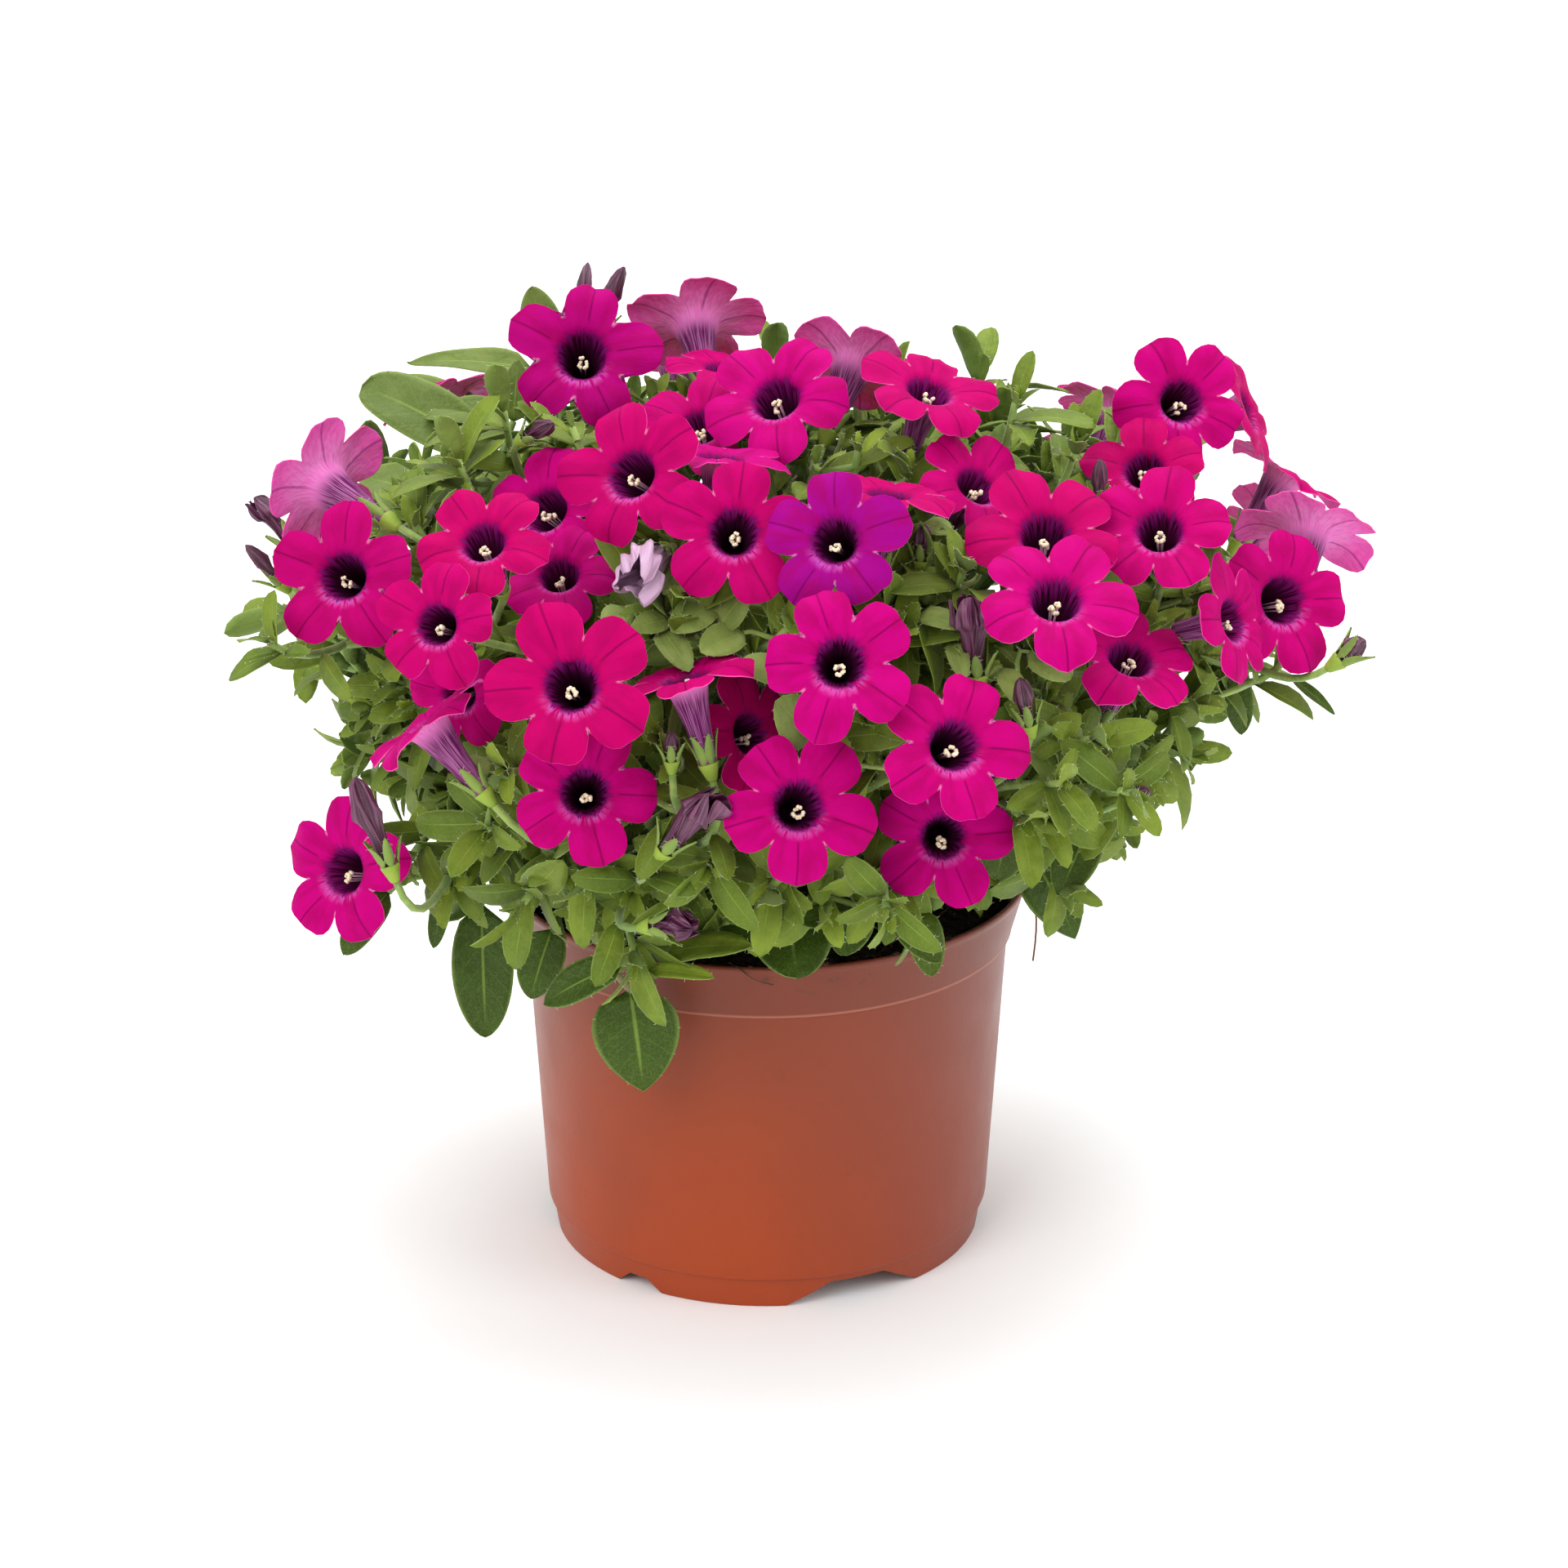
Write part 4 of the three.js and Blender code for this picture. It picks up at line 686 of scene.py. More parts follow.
def dome_axis(place, lift):
    """The way that a shoot grows out of the mound, lifted some way to the sky"""
    normal = unit((place - DOME_CENTRE) / DOME_RADII / DOME_RADII)
    return unit(normal + (UP - normal) * lift)


def round_the_mound(turn, rise, out):
    place = way_out(math.radians(turn), math.radians(rise)) * DOME_RADII * out + DOME_CENTRE
    return place, dome_axis(place, 0.2)


def bloom_points(bloom, local):
    """The places of points given on a bloom's right, its up and its axis"""
    return bloom["place"] + local * bloom["scale"] @ np.array([bloom["right"], bloom["up"], bloom["axis"]])


def depths(places, radii, others, other_radii):
    """How deep each ball of one set is in each ball of another"""
    apart = np.linalg.norm(places[:, None] - others[None], axis=2)
    return radii[:, None] + other_radii[None] - apart


def thickened(shape, thickness, rim_finish, inner=0):
    """Makes a surface that faces up a thin solid. Its top gets finish 0 and its underside finish 1."""
    bmesh.ops.recalc_face_normals(shape, faces=shape.faces)
    if sum(face.normal.z for face in shape.faces) < 0:
        bmesh.ops.reverse_faces(shape, faces=shape.faces)
    own = len(shape.verts)
    bmesh.ops.solidify(shape, geom=shape.faces, thickness=thickness)
    shape.verts.index_update()
    outer = [vert for vert in shape.verts if vert.co.xy.length >= inner]
    means = [np.mean([v.co.z for v in outer if (v.index < own) == first]) for first in (True, False)]
    for face in shape.faces:
        sides = {(vert.index < own) == (means[0] > means[1]) for vert in face.verts}
        face.material_index = rim_finish if len(sides) == 2 else int(not sides.pop())
    bmesh.ops.recalc_face_normals(shape, faces=shape.faces)


def bloom_kind():
    """The common shape of the blooms: a disc's rim is pulled up along the tube, then out to the lobes"""
    shape = bmesh.new()
    count = 2 * LOBE_STEPS * LOBES
    turns = []
    for k in range(count):
        lobe, step = divmod(k + LOBE_STEPS, 2 * LOBE_STEPS)
        part = (step - LOBE_STEPS) / LOBE_STEPS
        off = (0.35 * part + 0.65 * math.sin(math.pi / 2 * part)) * LOBE_TURN / 2
        turns.append((lobe * LOBE_TURN, off))

    def lay(ring, height, radius_at):
        """Moves the points of a ring, in their order round it, to a height and to their radii"""
        ring.sort(key=lambda vert: math.atan2(vert.co.y, vert.co.x) % (2 * math.pi))
        for vert, (turn, off) in zip(ring, turns):
            radius = radius_at(off)
            vert.co = (radius * math.cos(turn + off), radius * math.sin(turn + off), height)

    def pulled(edges):
        """The points and the edges of a new ring that is joined to the last one"""
        made = bmesh.ops.extrude_edge_only(shape, edges=edges)["geom"]
        ring = [item for item in made if isinstance(item, bmesh.types.BMVert)]
        fresh = set(ring)
        return ring, [e for e in made if isinstance(e, bmesh.types.BMEdge) and set(e.verts) <= fresh]

    def lobe_edge(off):
        share = abs(off / (LOBE_TURN / 2))
        return LOBE_REACH * (1 - 0.175 * share**2 - 0.245 * share**6)

    ring = bmesh.ops.create_circle(shape, cap_ends=True, segments=count, radius=1)["verts"]
    edges = list(shape.edges)
    lay(ring, TUBE_RINGS[0][1], lambda off: TUBE_RINGS[0][0])
    for radius, height in TUBE_RINGS[1:]:
        ring, edges = pulled(edges)
        lay(ring, height, lambda off: radius)
    for share in LIMB_SHARES:
        ring, edges = pulled(edges)
        height = THROAT_LEVEL + LOBE_RISE * math.sin(share * math.pi / 2)
        lay(ring, height, lambda off: THROAT_RADIUS + (lobe_edge(off) - THROAT_RADIUS) * share)
    thickened(shape, PETAL_THICKNESS, 2, inner=10)
    marks = shape.verts.layers.float_vector.new("mark")
    for vert in shape.verts:
        vert[marks] = vert.co
    return kind_of(shape)


def shaped_bloom(bloom, index):
    """A copy of the common bloom with its own droop, twist and length in each lobe"""
    dice = np.random.default_rng(900 + index)
    x, y, z = BLOOM_KIND.points.T
    r, turn = np.hypot(x, y), np.arctan2(y, x)
    lobe = np.floor(turn / LOBE_TURN + 0.5).astype(int)
    off = turn - lobe * LOBE_TURN
    lobe %= LOBES
    reach = np.clip((r - LOBE_FOOT) / LOBE_LENGTH, 0, 1)
    middle = np.cos(2.5 * off) ** 2
    lengths = dice.uniform(-0.1, 0.04, LOBES)
    twists = dice.uniform(-1.5, 1.5, LOBES)
    waves = dice.uniform(0, 6, LOBES)
    violet, gap = TRAITS.get(index, (0, dice.uniform(0, 0.08)))
    gaps = (gap + dice.uniform(-0.03, 0.08, LOBES)[lobe]) * reach**0.8
    z = z + bloom["droops"][lobe] * reach**2 * middle
    z += twists[lobe] * np.sin(5 * off) * reach * 0.8
    z += 0.55 * np.sin(off * 11 + waves[lobe]) * reach**3
    z += middle * np.sin(np.pi * reach) - EDGE_DROP * (1 - middle) * reach**2
    z -= CREASE_DEPTH * np.exp(-((off * r / CREASE_WIDTH) ** 2)) * np.clip(reach * 3, 0, 1)
    grow = 1 + lengths[lobe] * reach * middle + 0.013 * np.sin(off * 17 + waves[lobe] * 2) * reach**2
    turn = lobe * LOBE_TURN + off * (1 - gaps)
    points = bloom_points(bloom, np.stack([r * grow * np.cos(turn), r * grow * np.sin(turn), z], axis=1))
    away = points - bloom["place"]
    lower = -(away @ UP) / np.maximum(np.linalg.norm(away, axis=1), 1e-6)
    tint = dice.uniform(0, 1)
    tones = np.stack([np.full_like(r, tint), lower, np.full_like(r, violet)], axis=1)
    return BLOOM_KIND, points, tones


def carried(material, label):
    """Three numbers that each point of the mesh carries for the finish"""
    reader = material.node_tree.nodes.new("ShaderNodeAttribute")
    reader.attribute_name = label
    return reader.outputs["Vector"]


def read_bloom(material):
    """Distance from a bloom's axis, height, distance from a petal's crease, rays, and the bloom's tones"""
    x, y, height = parts(carried(material, "mark"))
    flat = node("ShaderNodeCombineXYZ", {0: x, 1: y}).outputs[0]
    r = node("ShaderNodeVectorMath", {0: flat}, operation="LENGTH").outputs["Value"]
    way = node("ShaderNodeVectorMath", {0: flat}, operation="NORMALIZE").outputs[0]
    crease = times(maths("PINGPONG", maths("ARCTAN2", y, x), LOBE_TURN / 2), r)
    lift = node("ShaderNodeCombineXYZ", {2: times(r, 0.035)}).outputs[0]
    rays = node("ShaderNodeVectorMath", {0: way, 1: lift}, operation="ADD").outputs[0]
    return r, height, crease, rays, parts(carried(material, "tone"))


blooms = []
for u, v, out, face, size in BLOOMS:
    blooms.append({"place": on_dome(u, v, out), "axis": facing(*face), "size": size, "front": True})
for turn, rise, size in REAR_BLOOMS:
    place, axis = round_the_mound(turn, rise, REAR_OUT)
    blooms.append({"place": place, "axis": axis, "size": size, "front": False})
for index, bloom in enumerate(blooms):
    draw = random_from(100 + index)
    side, other = square_to(bloom["axis"], UP)
    bloom["right"] = around(side, other, draw() * 2 * math.pi)
    bloom["up"] = np.cross(bloom["axis"], bloom["right"])
    bloom["droops"] = np.array([draw() * 4 - 3 for _ in range(LOBES)])
    bloom["scale"] = bloom["size"] / BLOOM_SIZE
    bloom["name"] = f"{index + 1:02d}"

ball_places = []
for count, r, height, _ in BLOOM_BALLS:
    turns = [2 * math.pi * i / count for i in range(count)]
    ball_places += [(r * math.cos(turn), r * math.sin(turn), height) for turn in turns]
ball_places = np.array(ball_places)
ball_radii = np.array([size for count, _, _, size in BLOOM_BALLS for _ in range(count)])
for _ in range(SPREAD_PASSES):  # blooms that cross are pushed apart towards the camera and away from it
    filled = [bloom_points(bloom, ball_places) for bloom in blooms]
    for i, near in enumerate(blooms):
        for j, far in enumerate(blooms):
            if i == j or math.dist(near["place"], far["place"]) > SPREAD_REACH:
                continue
            if near["place"] @ TO_CAMERA < far["place"] @ TO_CAMERA:
                continue
            pair = depths(filled[i], ball_radii * near["scale"], filled[j], ball_radii * far["scale"])
            push = max(pair.max(), 0) * SPREAD_SHARE
            near["place"] = near["place"] + TO_CAMERA * push
            far["place"] = far["place"] - TO_CAMERA * push
for bloom in blooms:
    places, radii = bloom_points(bloom, ball_places), ball_radii * bloom["scale"]
    note(places[:FOOT_BALLS], radii[:FOOT_BALLS], f"foot of {bloom['name']}")
    note(places[FOOT_BALLS:], radii[FOOT_BALLS:], f"bloom {bloom['name']}")
petal_room = ~np.isin(room["owners"], [owner_numbers[stem["name"]] for stem in stems])
petal_places, petal_radii = room["places"][petal_room], room["radii"][petal_room]

velvet = {"Subsurface_Weight": 0.25, "Subsurface_Scale": 0.001, "Roughness": 0.6, "Specular_IOR_Level": 0.03}
petal_face = finish_of("petal_face", **velvet)
r, height, crease, rays, (tint, lower, violet) = read_bloom(petal_face)
streaks = grain(rays, 8.5, 2)
petal = over((176, 0, 112), (170, 0, 84), tint)
petal = over(petal, (140, 4, 122), violet)
petal = over(petal, (142, 0, 74), between(grain(rays, 3, 2), 0.4, 0.65), 0.5)
# a darker midvein down each lobe's crease, with painted shade in the fold
petal = over(petal, (100, 0, 56), between(crease, 0.42, 0.08), between(r, 7, 9), 0.62)
throat = maths("MULTIPLY_ADD", streaks, -4.4, r)
petal = over(petal, (100, 0, 84), between(throat, 4.8, 2.4), 0.6)
# painted light: a pale pink glow on the lower side of the throat, where its wall looks lit
painted_throat_light = times(between(lower, 0.15, 0.85), between(r, 8.2, 5.6), between(streaks, 0.36, 0.6))
petal = over(petal, (214, 110, 204), painted_throat_light, 0.5)
joint = times(maths("SUBTRACT", LOBE_TURN / 2, maths("DIVIDE", crease, r)), r)
petal = over(petal, (240, 170, 208), between(joint, 0.26, 0.1), between(r, 9.2, 10), 0.3)
dark = over((36, 0, 26), (112, 16, 92), between(streaks, 0.42, 0.58))
petal = over(petal, dark, between(throat, 3.8, 2.8))
# painted shade: the inside of the tube is darker the deeper it goes
feed(petal_face, "Base Color", over(petal, (60, 14, 46), between(height, -3.2, -8), 0.8))
relief(petal_face, grain(rays, 26, 2), 0.25, 0.0004)

petal_back = finish_of("petal_back", **velvet)
r, height, crease, rays, _ = read_bloom(petal_back)
streaks = between(grain(rays, 14, 3), 0.42, 0.6)
lilac = over((216, 128, 190), (222, 96, 178), between(r, 7, 16))
lilac = over(lilac, (206, 66, 168), streaks, 0.4)
lilac = over(lilac, (120, 24, 98), between(crease, 0.5, 0.1), between(r, 4, 8), 0.55)
tube = over((92, 22, 80), (172, 110, 156), streaks, 0.75)
feed(petal_back, "Base Color", over(lilac, tube, between(height, -1.5, -7)))
relief(petal_back, streaks, 0.3, 0.0003)
petal_edge = finish_of("petal_edge", Base_Color=linear(226, 78, 158), **velvet)

BLOOM_KIND = bloom_kind()
for index, bloom in enumerate(blooms):
    if index not in SPENT_BLOOMS:
        replaced = [f"bloom_{bloom['name']}"] if bloom["front"] else []
        finishes = [petal_face, petal_back, petal_edge]
        gathered(f"petals_{bloom['name']}", [shaped_bloom(bloom, index)], finishes, replaced)

# Stamens
# Five cream anthers, each of two lobes, stand in every open throat, on thin pink filaments that rise from
# low in the tube.
STAMENS, STAMEN_TURN, STAMEN_FOOT = 5, 1.256, 19
FILAMENT_RADIUS, ANTHER_GAP, STAMEN_SAG = 0.16, 0.26, 1.2
bead = bmesh.new()
bmesh.ops.create_uvsphere(bead, u_segments=7, v_segments=4, radius=1)
ANTHER = kind_of(bead)
FILAMENT = tube_kind(5, 1)
anthers, filaments = [], []
for index, bloom in enumerate(blooms):
    if index in SPENT_BLOOMS:
        continue
    dice = np.random.default_rng(300 + index)
    below = np.array([bloom["right"] @ UP, bloom["up"] @ UP, 0]) * STAMEN_SAG
    for k in range(STAMENS):
        turn = k * STAMEN_TURN + dice.uniform(-0.4, 0.4)
        r, height = dice.uniform(0.5, 1.35), dice.uniform(-4.4, -1.8)
        tip = np.array([r * math.cos(turn), r * math.sin(turn), height]) - below
        line = bloom_points(bloom, np.array([tip * [0.3, 0.3, 0] - [0, 0, STAMEN_FOOT], tip]))
        filaments.append(along_line(FILAMENT, line, lambda t: np.full_like(t, FILAMENT_RADIUS)))
        axes = np.array([bloom["right"], bloom["up"], bloom["axis"]]) * dice.uniform(0.42, 0.58)
        for side in (-ANTHER_GAP, ANTHER_GAP):
            centre = tip + np.array([-math.sin(turn), math.cos(turn), 0]) * side
            anthers.append(copy_of(ANTHER, bloom_points(bloom, centre[None])[0], *axes))

pollen = finish_of("pollen_cream", Roughness=0.9)
dusty = between(grain(place_on(pollen), 2600, 2), 0.4, 0.62)
feed(pollen, "Base Color", over((240, 228, 200), (206, 184, 148), dusty))
filament_pink = finish_of("filament_pink", Roughness=0.6)
_, _, length = parts(carried(filament_pink, "mark"))
feed(filament_pink, "Base Color", over((96, 30, 90), (206, 160, 176), length))
gathered("anthers", anthers, [pollen])
gathered("filaments", filaments, [filament_pink])

# Flower shoots
# Each bloom, bud and spent bloom stands at the end of a thin shoot of its own. The shoot leaves the nearest
# stem from which it can reach its end without touching the pot or anything that grew before it.
BUDS = [  # place in the picture, how far out, the way it faces, length, width, how withered
    (298, 666, 1.06, (-0.6, 0.62, 1), 15, 4.4, 0.2), (716, 338, 1.1, (0.1, 0.95, -1), 13, 4.4, 0.1),
    (752, 344, 1.06, (0.35, 0.9, 1), 15, 5.4, 0.3), (440, 950, 1.08, (-0.3, 0.92, 1), 24, 7.5, 0.4),
    (786, 694, 1.05, (-0.3, -0.35, 1), 17, 9.5, 1), (1190, 736, 1.02, (-0.1, 0.9, 1), 20, 8.5, 0.5),
    (868, 972, 1.06, (0.5, 0.6, 1), 22, 9.5, 0.7), (1350, 560, 1.04, (0, 0.9, 1), 14, 4.6, 0),
    (1250, 830, 1.04, (-0.2, 0.85, 1), 14, 5.4, 0), (772, 770, 0.93, (0.25, 0.6, 1), 11, 5, 0.3),
    (822, 896, 1.02, (0.0, 0.9, 1), 9, 4, 0), (842, 1128, 1.1, (0.85, 0.1, 1), 12, 7, 0.9),
    (1676, 786, 1.12, (0.8, 0.55, 1), 10, 7, 0.3), (1408, 968, 1.04, (0.7, 0.3, 1), 9, 4.4, 0),
    (1132, 640, 0.98, (0.05, 0.9, 1), 11, 5, 0.2), (676, 512, 1.03, (0.7, 0.3, 1), 12, 5, 0.3),
]
CALYX_FOOT = 2.4  # how far a shoot ends below its bloom's tube
TWIG_RADIUS, TWIG_SPARE, TWIG_STEPS = 0.95, 0.35, 14
ROOT_BALLS = 3  # the first balls of a shoot count as its stem's
TWIG_KIND = tube_kind(7, 10)
LEAVING, ARRIVING, TWIG_SAG = 0.35, 0.38, 0.06  # how a shoot bends at its ends, as shares of its length
BOWS = (0, 8, -8, 16, -16, 26, -26)  # how far it bows to a side, as far as it needs to
STARTS, START_SHARES, SEARCH_SPARE = 110, (0.2, 0.7), 30
ROUGH_STEP, MOST_STEPS = 20, 3  # of the coarse line whose balls are tried
SIDEWAYS_COST, DOWNWARD_COST, SHORT_COST, SHORTEST = 14, 0.8, 40, 6
POT_CLEAR, WALL_CLEAR, GROUND_CLEAR, SOIL_CLEAR, INNER_CLEAR = 0.6, 1, 2, 1, 5
SHOWN_FROM = {"bud 13": "twig of 27", "tuft 12": "twig of 02"}  # these branch from another shoot
SHOWN_KNOT = 10  # the point of the other shoot that they leave
grown = {}


def pot_clear(places, radii):
    """Whether balls keep clear of the pot: above it, outside it, or inside it over the soil"""
    away = np.hypot(places[:, 0], places[:, 1])
    share = np.clip(places[:, 2] / POT_HEIGHT, 0, 1)
    wall = FOOT_RADIUS + (RIM - FOOT_RADIUS) * share + WALL_CLEAR
    low = places[:, 2] - radii
    outside = (away - radii > wall) & (low > GROUND_CLEAR)
    inside = (away - radii <= wall) & (low > SOIL_TOP + SOIL_CLEAR) & (away + radii < wall - INNER_CLEAR)
    return bool(np.all((low > POT_HEIGHT + POT_CLEAR) | outside | inside))


def is_clear(places, radii, mask):
    if not pot_clear(places, radii):
        return False
    return bool(np.all(depths(places, radii, room["places"][mask], room["radii"][mask]) <= 0))


def not_of(owners):
    numbers = [owner_numbers[owner] for owner in owners if owner in owner_numbers]
    return ~np.isin(room["owners"], numbers)


def twig_to(name, end, heading, owners=()):
    """Grows a shoot to an end that it reaches along a heading, and gives back its stem"""
    options = []
    for stem in stems:
        for begin, knot in zip(stem["line"][1:], stem["line"][2:]):
            for share in START_SHARES:
                start = begin + (knot - begin) * share
                reach = math.dist(start, end)
                behind = heading @ ((end - start) / reach)
                cost = reach + SIDEWAYS_COST * (1 - behind) + DOWNWARD_COST * max(0, start[2] - end[2])
                cost += SHORT_COST if reach < SHORTEST else 0
                options.append((cost, len(options), stem, start, reach))
    options.sort(key=lambda option: option[:2])
    side = square_to(heading, np.cross(UP, heading))[0]
    for _, _, stem, start, reach in options[:STARTS]:
        near = np.linalg.norm(room["places"] - start, axis=1) < reach + SEARCH_SPARE
        mask = near & not_of([stem["name"], *owners])
        for bow in BOWS:
            first = start + (end - start) * LEAVING + side * bow - UP * TWIG_SAG * reach
            last = end - heading * ARRIVING * reach + side * bow * 0.4
            steps = min(max(math.floor(reach / ROUGH_STEP + 0.5), 1), MOST_STEPS)
            places = places_along(curve([start, first, last, end], steps))
            radii = np.full(len(places), TWIG_RADIUS + TWIG_SPARE)
            if is_clear(places, radii, mask):
                note(places[:ROOT_BALLS], radii[:ROOT_BALLS], stem["name"])
                note(places[ROOT_BALLS:], radii[ROOT_BALLS:], name)
                if name in SHOWN_FROM:
                    start = grown[SHOWN_FROM[name]][SHOWN_KNOT]
                    first = start + (end - start) * 0.4 - UP * 3
                    last = end - heading * 0.3 * math.dist(start, end)
                line = grown[name] = curve([start, first, last, end], TWIG_STEPS)
                stem["wood"].append(along_line(TWIG_KIND, line, lambda t: TWIG_RADIUS * (1.25 - 0.35 * t)))
                lines.append((stem, line))
                return stem
    raise ValueError(f"no clear way for {name}")


calyx_sites = []
for index, bloom in enumerate(blooms):
    end, foot = bloom_points(bloom, np.array([[0, 0, -TUBE - CALYX_FOOT], [0, 0, -TUBE]]))
    stem = twig_to(f"twig of {bloom['name']}", end, bloom["axis"], [f"foot of {bloom['name']}"])
    dice = np.random.default_rng(1200 + index)
    calyx_sites.append((stem, foot, bloom["axis"], bloom["right"], bloom["scale"], 1, dice))
buds = []
for index, (u, v, out, face, long, wide, withered) in enumerate(BUDS):
    place, axis = on_dome(u, v, out), facing(*face)
    end = place - axis * long
    own = f"bud {index + 1}"
    stem = twig_to(own, end, axis)
    places = places_along([end, place])
    note(places, np.full(len(places), wide * 0.5), own)
    side, other = square_to(axis, UP)
    dice = np.random.default_rng(1500 + index)
    calyx_sites.append((stem, end + axis, axis, side, 0.55 + wide * 0.05, 1.2, dice))
    buds.append((end, np.array([side, other, axis]), long, wide, withered, dice))

# Calyxes
# Each bloom's tube stands in a short green cup, the swollen end of its shoot, with five narrow downy sepals
# that lean away from the tube. They have the shape and the finish of small leaves.
CUP_HEIGHT, CUP_RADIUS, CUP_SIDES, CUP_SUNK = 4.6, 2.7, 10, 0.2
CUP_LIP, CUP_MOUTH, CUP_FLOOR = 0.1, 0.72, 0.5
SEPAL_LENGTH, SEPAL_WIDTH, SEPAL_LEAN, SEPAL_AGE = 8.8, 2.5, 0.33, 0.3


def rib(bend, share):
    """Along and up on the midrib of a leaf of length 1 that is bent through an angle"""
    half, angle = bend / 2, bend / 2 - bend * share
    radius = half / math.sin(half) / bend
    return radius * (math.sin(half) - math.sin(angle)), radius * (math.cos(angle) - math.cos(half))


def leaf_kind(seed, steps, bend, fold=0.05, point=0.58, base=0.72, thickness=0.013):
    """A leaf of length 1 and width 1 along +Y: a grid drawn to the leaf's outline and made a thin solid"""
    dice = np.random.default_rng(seed)
    phase, twist = dice.uniform(0, 6), dice.uniform(-0.12, 0.12)
    widest = base / (base + point)
    full = widest**base * (1 - widest) ** point
    shape = bmesh.new()
    marks = shape.verts.layers.float_vector.new("mark")
    bmesh.ops.create_grid(shape, x_segments=steps[0], y_segments=steps[1], size=0.5)
    for vert in shape.verts:
        side, share = vert.co.x * 2, vert.co.y + 0.5
        t = 1 - (1 - share) ** 1.5
        half = 0.5 * max(t, 0) ** base * max(1 - t, 0) ** point / full + 0.05 * (1 - t) ** 3
        y, z = rib(bend, t)
        z += fold * abs(side) ** 1.4 * (half * 2) + twist * side * t * half
        z += 0.012 * math.sin(9 * t + phase + 2 * side) * abs(side)
        vert[marks] = (side, t, 0)
        vert.co = (side * half, y, z)
    bmesh.ops.remove_doubles(shape, verts=shape.verts, dist=0.0005)
    thickened(shape, thickness, 0)
    return kind_of(shape)


def leant(axis, side, other, turn, lean):
    """The way out from a shoot at a turn, and the length and upper side of what leans out that way"""
    radial = around(side, other, turn)
    along = axis * math.cos(lean) + radial * math.sin(lean)
    return radial, along, axis * math.sin(lean) - radial * math.cos(lean)


leaf_finishes = []
for name, roughness, sheen, paler in (("leaf_top", 0.5, 0.04, 0), ("leaf_under", 0.65, 0.06, 0.45)):
    leaf_green = finish_of(name, Roughness=roughness, Specular_IOR_Level=0.2, Sheen_Weight=sheen)
    across, along, _ = parts(carried(leaf_green, "mark"))
    tint, age, greyed = parts(carried(leaf_green, "tone"))
    place = place_on(leaf_green)
    green = over((138, 156, 44), (106, 126, 32), tint)
    green = over(green, (38, 60, 0), age)
    green = over(green, (134, 148, 92), greyed)
    mottle = between(grain(place, 190), 0.38, 0.68)
    green = over(green, (58, 88, 6), mottle, 0.35)
    green = over(green, (150, 168, 96), between(grain(place, 2400, 2), 0.4, 0.75), 0.12)
    edge = maths("ABSOLUTE", across)
    ladder = maths("PINGPONG", maths("MULTIPLY_ADD", edge, -1.7, times(along, 7)), 0.5)
    side_vein = times(between(ladder, 0.09, 0.02), 0.06)
    green = over(green, (136, 166, 74), side_vein)
    midrib = times(between(edge, 0.07, 0.02), between(along, 1.0, 0.5))
    green = over(green, (142, 170, 70), midrib, 0.42)
    green = over(green, (146, 172, 84), between(edge, 0.86, 1.0), 0.4)
    feed(leaf_green, "Base Color", over(green, (132, 158, 88), paler))
    ridges = maths("MULTIPLY_ADD", midrib, -0.8, maths("MULTIPLY_ADD", side_vein, -1, mottle))
    relief(leaf_green, ridges, 0.35, 0.0008)
    leaf_finishes.append(leaf_green)

SEPAL = leaf_kind(21, (4, 5), 0.35, fold=0.12, point=0.7, base=0.35, thickness=0.05)
cup_shape = bmesh.new()
cone = {"segments": CUP_SIDES, "radius1": 0.42, "radius2": 1, "depth": 1}
bmesh.ops.create_cone(cup_shape, cap_ends=True, matrix=Matrix.Translation((0, 0, 0.5)), **cone)
rims = [edge for edge in cup_shape.edges if edge.is_manifold and edge.calc_face_angle() > 1]
bmesh.ops.bevel(cup_shape, geom=rims, offset=0.14, segments=2, profile=0.5, affect="EDGES", material=-1)
mouth = max(cup_shape.faces, key=lambda face: face.calc_center_median().z)
bmesh.ops.inset_region(cup_shape, faces=[mouth], thickness=CUP_LIP)
for vert in mouth.verts:
    vert.co = (vert.co.x * CUP_MOUTH, vert.co.y * CUP_MOUTH, CUP_FLOOR)
CUP = kind_of(cup_shape)
for stem, foot, axis, side, scale, spread, dice in calyx_sites:
    other = np.cross(axis, side)
    axes = np.array([side * CUP_RADIUS, other * CUP_RADIUS, axis * CUP_HEIGHT]) * scale
    stem["calyxes"].append(copy_of(CUP, foot - axis * (CALYX_FOOT + CUP_SUNK) * scale, *axes))
    for k in range(LOBES):
        turn = LOBE_TURN * (k + 0.5) + dice.uniform(-0.15, 0.15)
        lean = SEPAL_LEAN * spread * dice.uniform(0.7, 1.3)
        radial, along, inner = leant(axis, side, other, turn, lean)
        long = SEPAL_LENGTH * scale * dice.uniform(0.85, 1.1)
        base = foot + (axis * 0.9 + radial * 1.9) * scale
        axes = np.cross(along, inner) * SEPAL_WIDTH * scale, along * long, inner * long * 0.6
        stem["calyxes"].append(copy_of(SEPAL, base, *axes, (dice.uniform(0, 1), SEPAL_AGE, 0)))
for stem in stems:
    if stem["calyxes"]:
        gathered(f"calyxes_{stem['name']}", stem["calyxes"], leaf_finishes)

